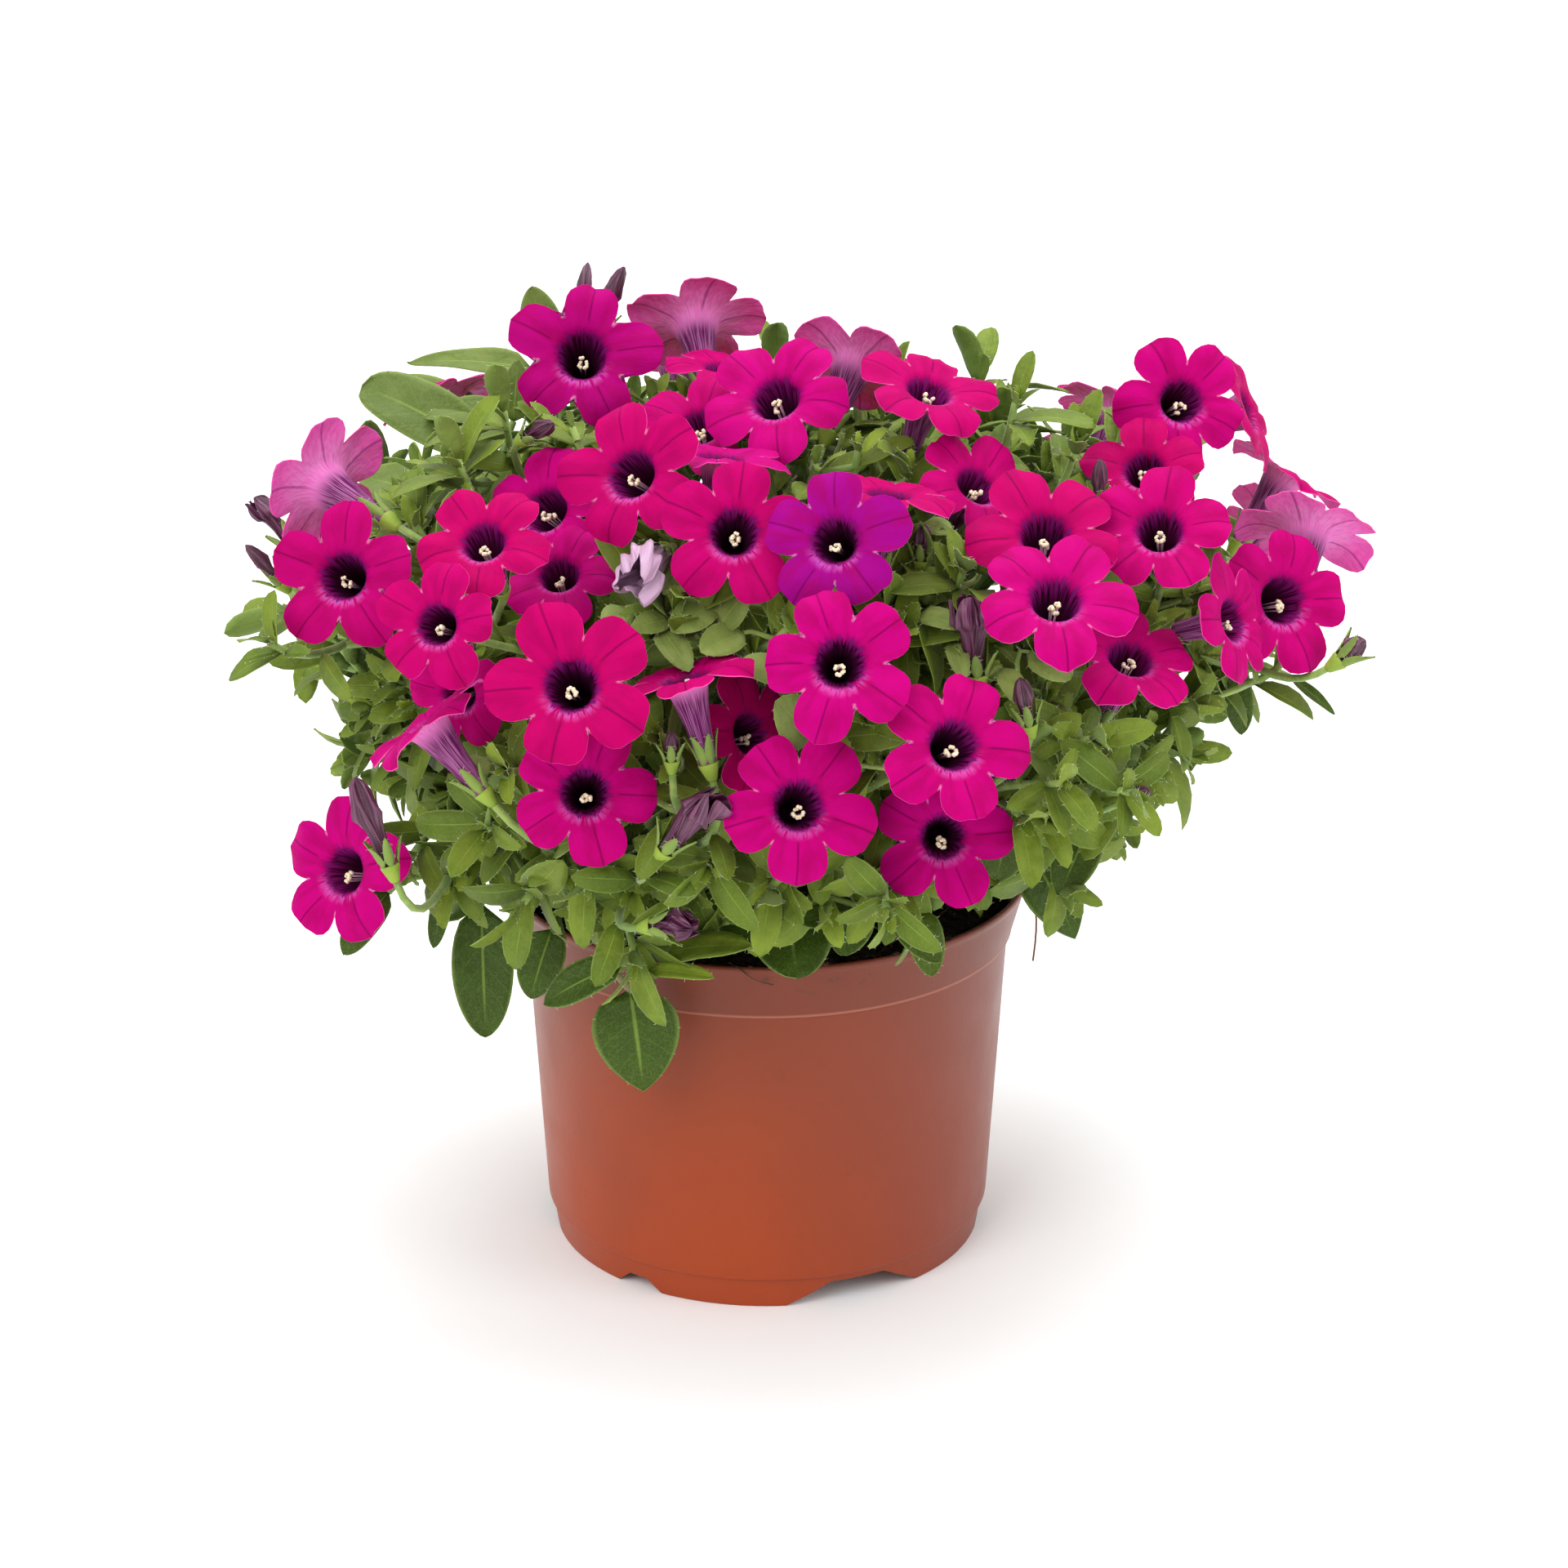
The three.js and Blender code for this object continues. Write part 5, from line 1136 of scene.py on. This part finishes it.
# Buds and spent blooms
# Young buds are furled tubes, dark purple brown with paler ribs. Spent blooms have shrunk to crumpled
# purple tubes. The pale ribs and pale patches on the folds are partly painted highlight for their gloss.
SPENT_FROM = 0.45  # how withered a bud is from which it is shown as a spent bloom
SPENT_LENGTH, SPENT_WIDTH, SLEEVE_RADIUS, SLEEVE_LENGTH = 34.6, 10.4, 5.2, 10.6
REAR_SPENT_SIZE = (18, 7)
BUD_KIND = tube_kind(20, 16)
BUD_SHARES = (0, 0.15, 0.45, 0.66, 0.82, 0.93, 1)
BUD_SWELL = (0.3, 0.42, 0.66, 1, 0.86, 0.55, 0.12)  # its radius at those shares of its length
GREW = {1: 1.4, 2: 1.35, 4: 1.45, 5: 1.1, 6: 1.1, 11: 1.15}  # how many times their noted size these are


def spent_kind():
    """The bloom with its face folded forward to a sleeve of five tongues"""
    x, y, z = BLOOM_KIND.points.T
    r, turn = np.hypot(x, y), np.arctan2(y, x)
    limb = r > THROAT_RADIUS
    face = np.clip((r - THROAT_RADIUS) / (LOBE_REACH - THROAT_RADIUS), 0, 1)
    thick = np.where(limb, z - (LOBE_RISE * np.sin(face * math.pi / 2) + THROAT_LEVEL), 0)
    level = np.clip((z + TUBE) / TUBE, 0, 1)
    radius = np.where(limb, SLEEVE_RADIUS * (1 - 0.45 * face) - thick, r * (1 - 0.28 * level))
    height = TUBE + np.where(limb, SLEEVE_LENGTH * face + THROAT_LEVEL, z)
    points = np.stack([radius * np.cos(turn), radius * np.sin(turn), height], axis=1)
    marks = np.stack([np.cos(turn), np.sin(turn), height / SPENT_LENGTH], axis=1)
    return BLOOM_KIND._replace(points=points, marks=marks, finishes=[0] * len(BLOOM_KIND.faces))


def crumpled(index, long, wide):
    """Points of a spent bloom, twisted and shrunk to folds, in its own directions"""
    x, y, z = SPENT_KIND.points.T
    t = z / SPENT_LENGTH
    turn = np.arctan2(y, x)
    spots = [Vector((2.2 * math.cos(a), 2.2 * math.sin(a), 3 * h + index)) for a, h in zip(turn, t)]
    folds = np.array([noise.noise(spot) for spot in spots])
    r = np.hypot(x, y) * (0.85 - 0.22 * np.abs(np.cos(2.5 * turn)) + 0.75 * folds * (0.4 + 0.6 * t))
    turn = turn + 1.1 * t**2 * (1 if index % 2 else -1)
    bent = 0.3 * long * np.clip(t - 0.55, 0, 1) ** 1.5 * (1 + 0.8 * np.cos(2 * turn + index))
    size = wide / SPENT_WIDTH
    return np.stack([r * np.cos(turn) * size - bent, r * np.sin(turn) * size, t * long], axis=1)


def furled(index, long, wide, withered):
    """Points of a bud, ribbed and swollen near its tip, in its own directions"""
    x, y, t = BUD_KIND.points.T
    turn = np.arctan2(y, x)
    ribs = 1 - (0.3 + 0.3 * withered) * np.abs(np.cos(2.5 * turn + 2.5 * t)) ** 0.7
    crumple = 1 + withered * 0.4 * np.sin(3 * turn + 9 * t + index) * np.sin(8 * t + index)
    crumple += withered * 0.5 * np.clip((t - 0.7) / 0.3, 0, 1) * np.sin(5 * turn + index)
    radius = wide / 2 * np.interp(t, BUD_SHARES, BUD_SWELL) * ribs * crumple
    sag = withered * 0.16 * long * np.sin(t * 2.4 + index) * t
    height = t * long * GREW.get(index, 1)
    return np.stack([radius * np.cos(turn) + sag, radius * np.sin(turn), height], axis=1)


SPENT_KIND = spent_kind()
bud_copies = []
for index in SPENT_BLOOMS:
    bloom = blooms[index]
    foot = bloom_points(bloom, np.array([[0, 0, -TUBE]]))[0]
    ways = np.array([bloom["right"], bloom["up"], bloom["axis"]])
    bud_copies.append((SPENT_KIND, foot + crumpled(index, *REAR_SPENT_SIZE) @ ways, (0.5, 0.6, 0)))
for index, (end, ways, long, wide, withered, dice) in enumerate(buds):
    if withered > SPENT_FROM:
        grew = GREW.get(index, 1)
        kind, points = SPENT_KIND, crumpled(index, long * grew, wide * grew)
    else:
        kind, points = BUD_KIND, furled(index, long, wide, withered)
    bud_copies.append((kind, end + points @ ways, (dice.uniform(0, 1), withered, 0)))

bud_purple = finish_of("bud_purple", Roughness=0.38, Specular_IOR_Level=0.5)
mark = carried(bud_purple, "mark")
x, y, t = parts(mark)
_, withered, _ = parts(carried(bud_purple, "tone"))
spiral = maths("MULTIPLY_ADD", maths("ARCTAN2", y, x), 5, times(t, 5))
ribbed = between(maths("COSINE", spiral), -0.2, -0.95)
stretched = node("ShaderNodeVectorMath", {0: mark, 1: (5, 5, 1.4)}, operation="MULTIPLY").outputs[0]
folds = grain(stretched, 1)
purple = over((50, 18, 30), (70, 14, 52), withered)
# paler ribs and fold patches: partly their own paler tissue, partly a painted highlight of their gloss
purple = over(purple, (140, 80, 112), ribbed, 0.35)
purple = over(purple, (150, 84, 128), between(folds, 0.48, 0.62), 0.4)
purple = over(purple, (96, 96, 56), between(t, 0.35, 0.05), 0.6)
purple = over(purple, (206, 170, 200), between(withered, 0.92, 1.0), 0.7)
feed(bud_purple, "Base Color", purple)
relief(bud_purple, maths("ADD", ribbed, folds), 0.6, 0.0008)
gathered("buds", bud_copies, [bud_purple])

# Large leaves
# Leaves are spoon-shaped, folded a little along a pale midrib, with a rounded tip and no stalk. The oldest
# are long, flat and dark and hang round the foot of the mound and over the rim. Young ones stand at its left.
BIG_LEAVES = [  # base and tip in the picture, each with its depth, then the width and the bend
    ((772, 1212, -66), (788, 1334, -68), 20, 0.5), ((590, 1108, -40), (596, 1268, -42), 14.5, 0.5),
    ((960, 1092, -52), (975, 1198, -72), 20, 0.9), ((870, 1150, -74), (925, 1155, -80), 8.5, 0.4),
    ((676, 1138, -60), (650, 1222, -66), 11, 0.4), ((760, 1180, -80), (666, 1228, -78), 10, 0.4),
    ((1070, 1112, -82), (980, 1130, -86), 8, 0.5), ((1100, 1130, -80), (1150, 1178, -86), 7.5, 0.5),
    ((1050, 1100, -60), (1030, 1170, -66), 11, 0.4), ((1262, 1046, -40), (1316, 1150, -46), 15, 0.4),
    ((1244, 985, -72), (1220, 1078, -70), 12, 0.5), ((1340, 1004, -60), (1296, 1098, -64), 11, 0.4),
    ((1362, 975, -62), (1266, 985, -66), 9, 0.4), ((1505, 800, -28), (1522, 900, -30), 7.5, 0.5),
    ((1582, 830, -30), (1636, 876, -34), 3, 0.3), ((396, 788, -6), (460, 832, -14), 8.5, 0.4),
    ((476, 1092, -62), (422, 1168, -66), 8, 0.4), ((548, 1080, -50), (532, 1160, -52), 5, 0.3),
    ((604, 560, 50), (442, 468, 58), 16, 0.6), ((604, 520, 70), (476, 462, 72), 12, 0.5),
    ((648, 446, 82), (498, 440, 86), 9, 0.5), ((556, 620, 30), (440, 580, 40), 17, 0.5),
    ((672, 440, 90), (650, 344, 92), 11, 0.3), ((624, 500, 60), (520, 508, 50), 10, 0.4),
    ((628, 512, 50), (634, 436, 50), 7.5, 0.3), ((860, 1020, -76), (922, 1080, -88), 9, 0.5),
]
OLD_LEAVES = 18  # the first ones in the list are old and dark
OLD_TONES, YOUNG_TONES = (0.92, 0), (0.65, 0.25)  # age, how grey
POINTS = {0: 0.85, 2: 0.5, 9: 0.85, 18: 0.4, 19: 0.5, 20: 0.8}  # by place in the list: how pointed
USUAL_POINT = 0.62
BOX_SPARE = 2.5  # how far a leaf may stand past the CAD model's box
BOX_LOW, BOX_HIGH = np.array(cad_low) / MM - BOX_SPARE, np.array(cad_high) / MM + BOX_SPARE
BIG_NORMAL = unit(TO_CAMERA + (UP - TO_CAMERA) * 0.45)
LEAF_BALLS = (0.3, 0.52, 0.74, 0.95)  # where a leaf's balls stand along it
BALL_SHARE, SMALLEST_BALL = 0.34, 1.2  # their radius as a share of its width, and the least


def leaf_frame(base, tip, normal, width, bend):
    """Where a leaf stands: its base, its three directions and its sizes"""
    along = unit(tip - base)
    upper = unit(normal - along * (normal @ along))
    ways = {"along": along, "upper": upper, "across": np.cross(along, upper)}
    return {"base": base, "length": math.dist(tip, base), "width": width, "bend": bend, **ways}


def rib_place(leaf, share):
    y, z = rib(leaf["bend"], share)
    return leaf["base"] + (leaf["along"] * y + leaf["upper"] * z) * leaf["length"]


def leaf_room(leaf):
    places = np.array([rib_place(leaf, share) for share in LEAF_BALLS])
    return places, np.full(len(places), max(leaf["width"] * BALL_SHARE, SMALLEST_BALL))


def put_leaf(stem, kind, leaf, age, dice, grey=0):
    """Adds a leaf to a stem if all of it stays in the CAD model's box"""
    length = leaf["length"]
    axes = leaf["across"] * leaf["width"], leaf["along"] * length, leaf["upper"] * length
    copy = copy_of(kind, leaf["base"], *axes, (dice.uniform(0, 1), age, grey))
    if np.all(copy[1] > BOX_LOW) and np.all(copy[1] < BOX_HIGH):
        stem["leaves"].append(copy)


def at_depth(u, v, y):
    """The point that shows at u, v and is y behind the pot's axis"""
    line = sight_line(u, v)
    return CAMERA + line * ((y - CAMERA[1]) / line[1])


dice = np.random.default_rng(40)
for index, (base, tip, width, bend) in enumerate(BIG_LEAVES):
    leaf = leaf_frame(at_depth(*base), at_depth(*tip), BIG_NORMAL, width, bend)
    own = f"big leaf {index + 1}"
    stem = twig_to(own, leaf["base"], unit(rib_place(leaf, 0.1) - leaf["base"]))
    note(*leaf_room(leaf), own)
    point = POINTS.get(index, USUAL_POINT)
    kind = leaf_kind(60 + index, (8, 14), bend, fold=0.035, point=point, base=0.5, thickness=0.01)
    age, grey = OLD_TONES if index < OLD_LEAVES else YOUNG_TONES
    put_leaf(stem, kind, leaf, age, dice, grey)

# Tufts
# A shoot ends in a tuft of short downy leaves, the young ones upright and the older ones spread under them.
# A leaf that finds no clear place round the shoot isn't grown.
TUFTS = [  # place in the picture, how far out on the mound, length of the longest leaf
    (642, 1105, 1.02, 24), (776, 1172, 1.1, 22), (868, 1062, 0.98, 22), (1086, 1112, 1.06, 20),
    (1384, 972, 1.04, 20), (1336, 905, 0.97, 20), (1180, 700, 0.95, 21), (846, 744, 0.9, 23),
    (596, 1015, 0.99, 21), (496, 1062, 1.02, 15), (556, 1075, 0.97, 18), (330, 786, 1.06, 15),
    (700, 520, 0.97, 20), (560, 560, 0.98, 22), (508, 640, 0.92, 21), (616, 500, 1.0, 22),
    (1246, 490, 1.06, 19), (1322, 545, 0.98, 19), (1384, 506, 1.02, 18), (1052, 548, 0.96, 20),
    (830, 925, 0.95, 20), (966, 768, 0.94, 21), (620, 940, 0.95, 19), (1250, 1000, 0.94, 21),
    (945, 1085, 0.98, 20), (716, 1075, 0.98, 20), (1300, 960, 1.03, 18),
]
REAR_TUFTS = [(-6, 6, 22, 24), (19, 5, 38, 24), (46, 3, 56, 22)]  # height angle, count, first turn, length
TUFT_ARCH, TUFT_WIDTH = 0.55, 0.38  # bend, and width as a share of the length
TUFT_LEAVES, TUFT_TRIES, TUFT_GAP, TRY_TURN, TRY_LOSS = 3, 6, 2.2, 0.45, 0.06
REAR_TUFTS_OUT = 0.97
YOUNG = [leaf_kind(seed, (4, 6), TUFT_ARCH, fold) for seed, fold in ((1, 0.05), (2, 0.07), (3, 0.035))]
GOLDEN = 2.4  # the turn from one leaf to the next
FACE_SHARE = 0.44  # the radius of a bloom's face as a share of its diameter
faces = np.array([bloom["place"] for bloom in blooms if bloom["front"]])
face_radii = np.array([bloom["size"] * FACE_SHARE for bloom in blooms if bloom["front"]])


def leaf_round(axis, base, turn, lean, length):
    """A leaf that leans out from a shoot's axis"""
    _, along, upper = leant(axis, *square_to(axis, UP), turn, lean)
    return leaf_frame(base, base + along * length, upper, length * TUFT_WIDTH, TUFT_ARCH)


def hides_face(places):
    """Whether a place stands before the face of a bloom, as the camera sees it"""
    offsets = places[:, None] - faces[None]
    before = offsets @ TO_CAMERA
    beside = np.linalg.norm(offsets - before[..., None] * TO_CAMERA, axis=2)
    return bool(np.any((before > 0) & (beside < face_radii)))


tufts = []
for u, v, out, size in TUFTS:
    place = on_dome(u, v, out)
    tufts.append((place, dome_axis(place, 0.25), size))
for rise, count, first, size in REAR_TUFTS:
    for i in range(count):
        turn = first + i * (180 - 2 * first) / (count - 1)
        tufts.append((*round_the_mound(turn, rise, REAR_TUFTS_OUT), size))
tuft_stems = []
for index, (place, axis, size) in enumerate(tufts):
    own = f"tuft {index + 1}"
    stem = twig_to(own, place, axis)
    tuft_stems.append(stem)
    draw = random_from(500 + index)
    dice = np.random.default_rng(2000 + index)
    start = draw() * 2 * math.pi
    mask = not_of([own])
    for i in range(TUFT_LEAVES):
        share = i / (TUFT_LEAVES - 1)
        length = size * (0.7 + 0.3 * share) * (0.9 + 0.2 * draw())
        lean = 0.4 + 1.05 * share + 0.3 * (draw() - 0.5)
        wobble = 0.6 * (draw() - 0.5)
        for attempt in range(TUFT_TRIES):
            nudge = TRY_TURN * (1 if attempt % 2 else -1) * math.ceil(attempt / 2)
            turn = start + i * GOLDEN + wobble + nudge
            base = place - axis * TUFT_GAP * i
            leaf = leaf_round(axis, base, turn, lean, length * (1 - TRY_LOSS * attempt))
            mask = np.append(mask, np.zeros(len(room["radii"]) - len(mask), bool))
            if is_clear(*leaf_room(leaf), mask):
                note(*leaf_room(leaf), own)
                if not hides_face(leaf_room(leaf)[0]):
                    put_leaf(stem, YOUNG[i], leaf, 0.15 + 0.15 * i, dice)
                break

# Inner foliage
# Between the blooms the mound is full of more of the same downy leaves, along every shoot and in tufts at
# the ends of short side shoots. They keep clear of the petals and don't stand before a bloom's face. A few
# pale leaves that the picture shows between blooms and at the rim are placed one by one.
FILL_CENTRE, FILL_RADII, FILL_LIMIT = np.array([2.0, 2, 150]), np.array([112.0, 98, 66]), 1.32
FILL_TUFTS, FILL_SPAN, CORE_TUFTS = 360, 1.62, 50
FILL_OUT, CORE_OUT, RIM_OUT, RIM_LEVELS = (0.76, 1.04), (0.25, 0.7), (47, 60), (99, 108)
FILL_SIZES, CORE_SIZES, RIM_SIZES = (17, 22), (20, 25), (19, 26)
LOW_TUFTS, LOW_GROWTH = 135, 4  # tufts that stand lower than this are larger
FILL_LEAVES, EXTRA_LEAVES, EXTRA_SHARE = 7, 5, 0.7  # the extra ones join the tufts that are there already
LEAFY, SHORTEST_LEAFY, LEAF_SPACING = (0.3, 0.93), 12, 8.5  # this part of a shoot bears leaves
LEAF_LEANS, LEAF_LENGTHS, LEAF_AGE = (0.8, 1.25), (10, 19), 0.45
PLAIN = [leaf_kind(seed, (2, 6), TUFT_ARCH, fold) for seed, fold in ((4, 0.05), (5, 0.08), (6, 0.03))]
SIDE_KIND, SIDE_STEPS = tube_kind(6, 6), 10
SHORTEST_SIDE, LONGEST_SIDE = 5, 60
RIM_TURNS = [*range(-158, -96, 7), -67, *range(-20, 190, 16)]  # in degrees: at the front right the soil shows
HAND_BEND, HAND_TWIG = 0.45, 0.8
HAND_KIND = leaf_kind(58, (4, 8), HAND_BEND, fold=0.05, point=0.6, base=0.55)
RIM_LEAVES = [  # base and tip in the picture, each with its depth, then the width and the age
    ((806, 1168, -74), (920, 1158, -83), 8.5, 0.3), ((794, 1188, -80), (874, 1197, -87), 5, 0.1),
    ((1126, 1112, -64), (1140, 1196, -72), 8.5, 0.8), ((886, 1096, -60), (862, 1172, -72), 9, 0.4),
    ((846, 1104, -62), (822, 1164, -72), 7.5, 0.2), ((796, 1097, -70), (733, 1150, -76), 7.5, 0.4),
    ((798, 1072, -66), (757, 1098, -70), 5.5, 0.3), ((872, 1080, -66), (904, 1132, -72), 7, 0.3),
]
PALE_LEAVES = [  # base and tip in the picture, then the width: they show between the blooms
    ((875, 740), (822, 772), 8.5), ((880, 768), (915, 724), 8.5), ((911, 774), (858, 798), 8.5),
    ((808, 768), (844, 822), 7), ((822, 758), (773, 770), 6), ((965, 830), (905, 812), 7.5),
    ((994, 908), (950, 858), 12), ((1152, 677), (1210, 684), 8), ((1125, 752), (1183, 768), 6),
    ((1167, 784), (1181, 832), 5), ((1227, 818), (1255, 866), 6), ((1262, 798), (1312, 832), 9),
    ((768, 742), (742, 772), 7), ((850, 700), (812, 726), 6.5), ((1130, 640), (1166, 652), 6),
    ((1262, 905), (1300, 960), 8), ((640, 940), (610, 990), 8), ((600, 930), (560, 960), 7),
]
PALE_OUT, PALE_TONES = (0.92, 0.97), (0.1, 0.5)  # how far out they start and end, their age and how grey


def has_room(places, radius, may_hide=False):
    """Whether balls keep clear of the pot and the petals, and of the faces that the camera sees"""
    radii = np.full(len(places), radius)
    if not pot_clear(places, radii) or np.any(depths(places, radii, petal_places, petal_radii) > 0):
        return False
    return may_hide or not hides_face(places)


def add_leaf(stem, base, axis, turn, lean, length, age, dice):
    """A downy leaf on a shoot, if there is room for it"""
    leaf = leaf_round(axis, base, turn, lean, length)
    places, radii = leaf_room(leaf)
    if has_room(places, radii[0]):
        put_leaf(stem, PLAIN[dice.integers(len(PLAIN))], leaf, age, dice)


def add_tuft(stem, place, axis, size, count, dice):
    start = dice.uniform(0, 6)
    for i in range(count):
        share = i / (count - 1)
        length = size * (0.34 + 0.66 * share) * dice.uniform(0.88, 1.1)
        lean = 0.2 + 1.2 * share + dice.uniform(-0.15, 0.15)
        add_leaf(stem, place - axis * 1.3 * i, axis, start + i * GOLDEN, lean, length, 0.4 * share, dice)


def side_shoot(place, axis, thickness):
    """Grows a shoot from the nearest wood to a place and gives back its stem, if there is a clear way"""
    gap = np.linalg.norm(spot_places - place, axis=1) + 0.8 * np.maximum(spot_places[:, 2] - place[2], 0)
    for nearest in np.argsort(gap)[:40:8]:
        stem, spot = spots[nearest]
        reach = math.dist(spot, place)
        if not SHORTEST_SIDE < reach < LONGEST_SIDE:
            continue
        first = spot + (place - spot) * LEAVING - UP * TWIG_SAG * reach
        line = curve([spot, first, place - axis * 0.35 * reach, place], SIDE_STEPS)
        if has_room(line[2:], thickness * 0.8, may_hide=True):
            stem["wood"].append(along_line(SIDE_KIND, line, lambda t: thickness * (1 - 0.35 * t)))
            lines.append((stem, line))
            return stem
    return None


def span_at(line, knot):
    """The points of a line before and after a knot, and the place between them"""
    before, after = line[int(knot)], line[int(knot) + 1]
    return before, after, before + (after - before) * (knot - int(knot))


def length_of(line):
    return np.linalg.norm(np.diff(line, axis=0), axis=1).sum()


dice = np.random.default_rng(77)  # it runs on through the hairs
for stem, (place, axis, size) in zip(tuft_stems, tufts):
    add_tuft(stem, place, axis, size * EXTRA_SHARE, EXTRA_LEAVES, dice)
sites = []
for index in range(FILL_TUFTS):
    rise = math.asin(1 - FILL_SPAN * (index + 0.5) / FILL_TUFTS)
    way = way_out(index * GOLDEN + dice.uniform(-0.1, 0.1), rise)
    place = FILL_CENTRE + way * FILL_RADII * dice.uniform(*FILL_OUT)
    size = dice.uniform(*FILL_SIZES) + LOW_GROWTH * (place[2] < LOW_TUFTS)
    sites.append((place, dome_axis(place, 0.3), size))
for _ in range(CORE_TUFTS):
    way = unit(dice.normal(size=3) + UP * 0.2)
    place = FILL_CENTRE + way * FILL_RADII * dice.uniform(*CORE_OUT)
    sites.append((place, unit(way + UP), dice.uniform(*CORE_SIZES)))
for turn in np.radians(RIM_TURNS):
    place = way_out(turn) * dice.uniform(*RIM_OUT) + UP * dice.uniform(*RIM_LEVELS)
    sites.append((place, unit(way_out(turn) + UP * 0.5), dice.uniform(*RIM_SIZES)))
spots = [(stem, spot) for stem, line in lines for spot in line[2:]]
spot_places = np.array([spot for _, spot in spots])
for place, axis, size in sites:
    stem = side_shoot(place, axis, TWIG_RADIUS) if has_room(place[None], 2) else None
    if stem:
        add_tuft(stem, place, axis, size, FILL_LEAVES, dice)
by_hand = [(at_depth(*base), at_depth(*tip), width, age, 0) for base, tip, width, age in RIM_LEAVES]
for base, tip, width in PALE_LEAVES:
    by_hand.append((on_dome(*base, PALE_OUT[0]), on_dome(*tip, PALE_OUT[1]), width, *PALE_TONES))
for base, tip, width, age, grey in by_hand:
    leaf = leaf_frame(base, tip, BIG_NORMAL, width, HAND_BEND)
    stem = side_shoot(base, leaf["along"], TWIG_RADIUS * HAND_TWIG)
    if stem:
        put_leaf(stem, HAND_KIND, leaf, age, dice, grey)
for stem, line in lines:
    start = dice.uniform(0, 6)
    for k, share in enumerate(np.arange(*LEAFY, LEAF_SPACING / max(length_of(line), SHORTEST_LEAFY))):
        before, after, base = span_at(line, share * (len(line) - 1))
        lean = dice.uniform(*LEAF_LEANS)
        if np.sum(((base - FILL_CENTRE) / FILL_RADII) ** 2) < FILL_LIMIT:
            axis, turn = unit(after - before), start + k * GOLDEN
            add_leaf(stem, base, axis, turn, lean, dice.uniform(*LEAF_LENGTHS), LEAF_AGE, dice)
for stem in stems:
    if stem["leaves"]:
        gathered(f"leaves_{stem['name']}", stem["leaves"], leaf_finishes)

# Shoots
# A stem and all the shoots that grew from it are one branching piece of soft green wood, downy, and browner
# where it comes out of the soil.
stem_green = finish_of("stem_green", Roughness=0.6, Sheen_Weight=0.3, Sheen_Roughness=0.5)
place = place_on(stem_green)
_, _, height = parts(place)
green = over((136, 160, 70), (104, 134, 50), between(grain(place, 160), 0.4, 0.65))
feed(stem_green, "Base Color", over(green, (112, 98, 62), between(height, 0.11, 0.085)))
relief(stem_green, grain(place, 1500, 2), 0.3, 0.0003)
for stem in stems:
    gathered(f"shoots_{stem['name']}", stem["wood"], [stem_green], [f"stem_{stem['name']}"])

# Hairs
# Shoots, calyxes and leaf edges carry short soft hairs that catch the light as a pale fuzz. Each is a thin
# spike with three sides.
HAIR_RADIUS, HAIR_LENGTH, HAIR_SPACING, HAIR_SWAY = 0.065, 1.1, 1.15, 0.3
EDGE_HAIRS = 3  # every third point of a leaf's edge carries one
SHOOT_SHARES, LEAF_SHARES = (0.7, 1.5), (0.5, 1.1)  # how long they are, as shares of the usual length
BARE_FOOT = 0.12  # the part of a shoot that carries none
spike = bmesh.new()
stand = Matrix.Translation((0, 0, 0.5))
bmesh.ops.create_cone(spike, cap_ends=True, segments=3, radius1=1, radius2=0, depth=1, matrix=stand)
bmesh.ops.remove_doubles(spike, verts=spike.verts, dist=0.001)
SPIKE = kind_of(spike)


def add_hair(stem, base, way, length):
    way = unit(way + dice.normal(size=3) * HAIR_SWAY)
    side, other = square_to(way, UP)
    stem["hairs"].append(copy_of(SPIKE, base, side * HAIR_RADIUS, other * HAIR_RADIUS, way * length))


def edge_pairs(kind):
    """The points on a leaf's edge, each with the point of the midrib beside it"""
    across, along, _ = kind.marks.T
    edge = np.flatnonzero((np.abs(across) > 0.98) & (along > 0.08) & (along < 0.97))[::EDGE_HAIRS]
    midrib = np.flatnonzero(np.abs(across) < 0.02)
    return [(i, midrib[np.argmin(np.abs(along[midrib] - along[i]))]) for i in edge]


for stem, line in lines:
    slope = np.gradient(line, axis=0)
    thick = STEM_TIP if line is stem["fine"] else TWIG_RADIUS * 0.85
    for _ in range(int(length_of(line) / HAIR_SPACING)):
        knot = dice.uniform(BARE_FOOT, 1) * (len(line) - 1.001)
        way = around(*square_to(unit(slope[int(knot)]), UP), dice.uniform(0, 6.28))
        base = span_at(line, knot)[2] + way * thick * 0.7
        add_hair(stem, base, way, HAIR_LENGTH * dice.uniform(*SHOOT_SHARES))
for stem in stems:
    for kind, points, _ in stem["leaves"] + stem["calyxes"]:
        for edge, middle in edge_pairs(kind):
            way = points[edge] - points[middle]
            add_hair(stem, points[edge] - way * 0.05, unit(way), HAIR_LENGTH * dice.uniform(*LEAF_SHARES))

hair_white = finish_of("hair_white", Roughness=0.5)
pale = between(grain(place_on(hair_white), 300, 2), 0.35, 0.65)
feed(hair_white, "Base Color", over((206, 214, 176), (236, 238, 220), pale))
for stem in stems:
    gathered(f"hairs_{stem['name']}", stem["hairs"], [hair_white])
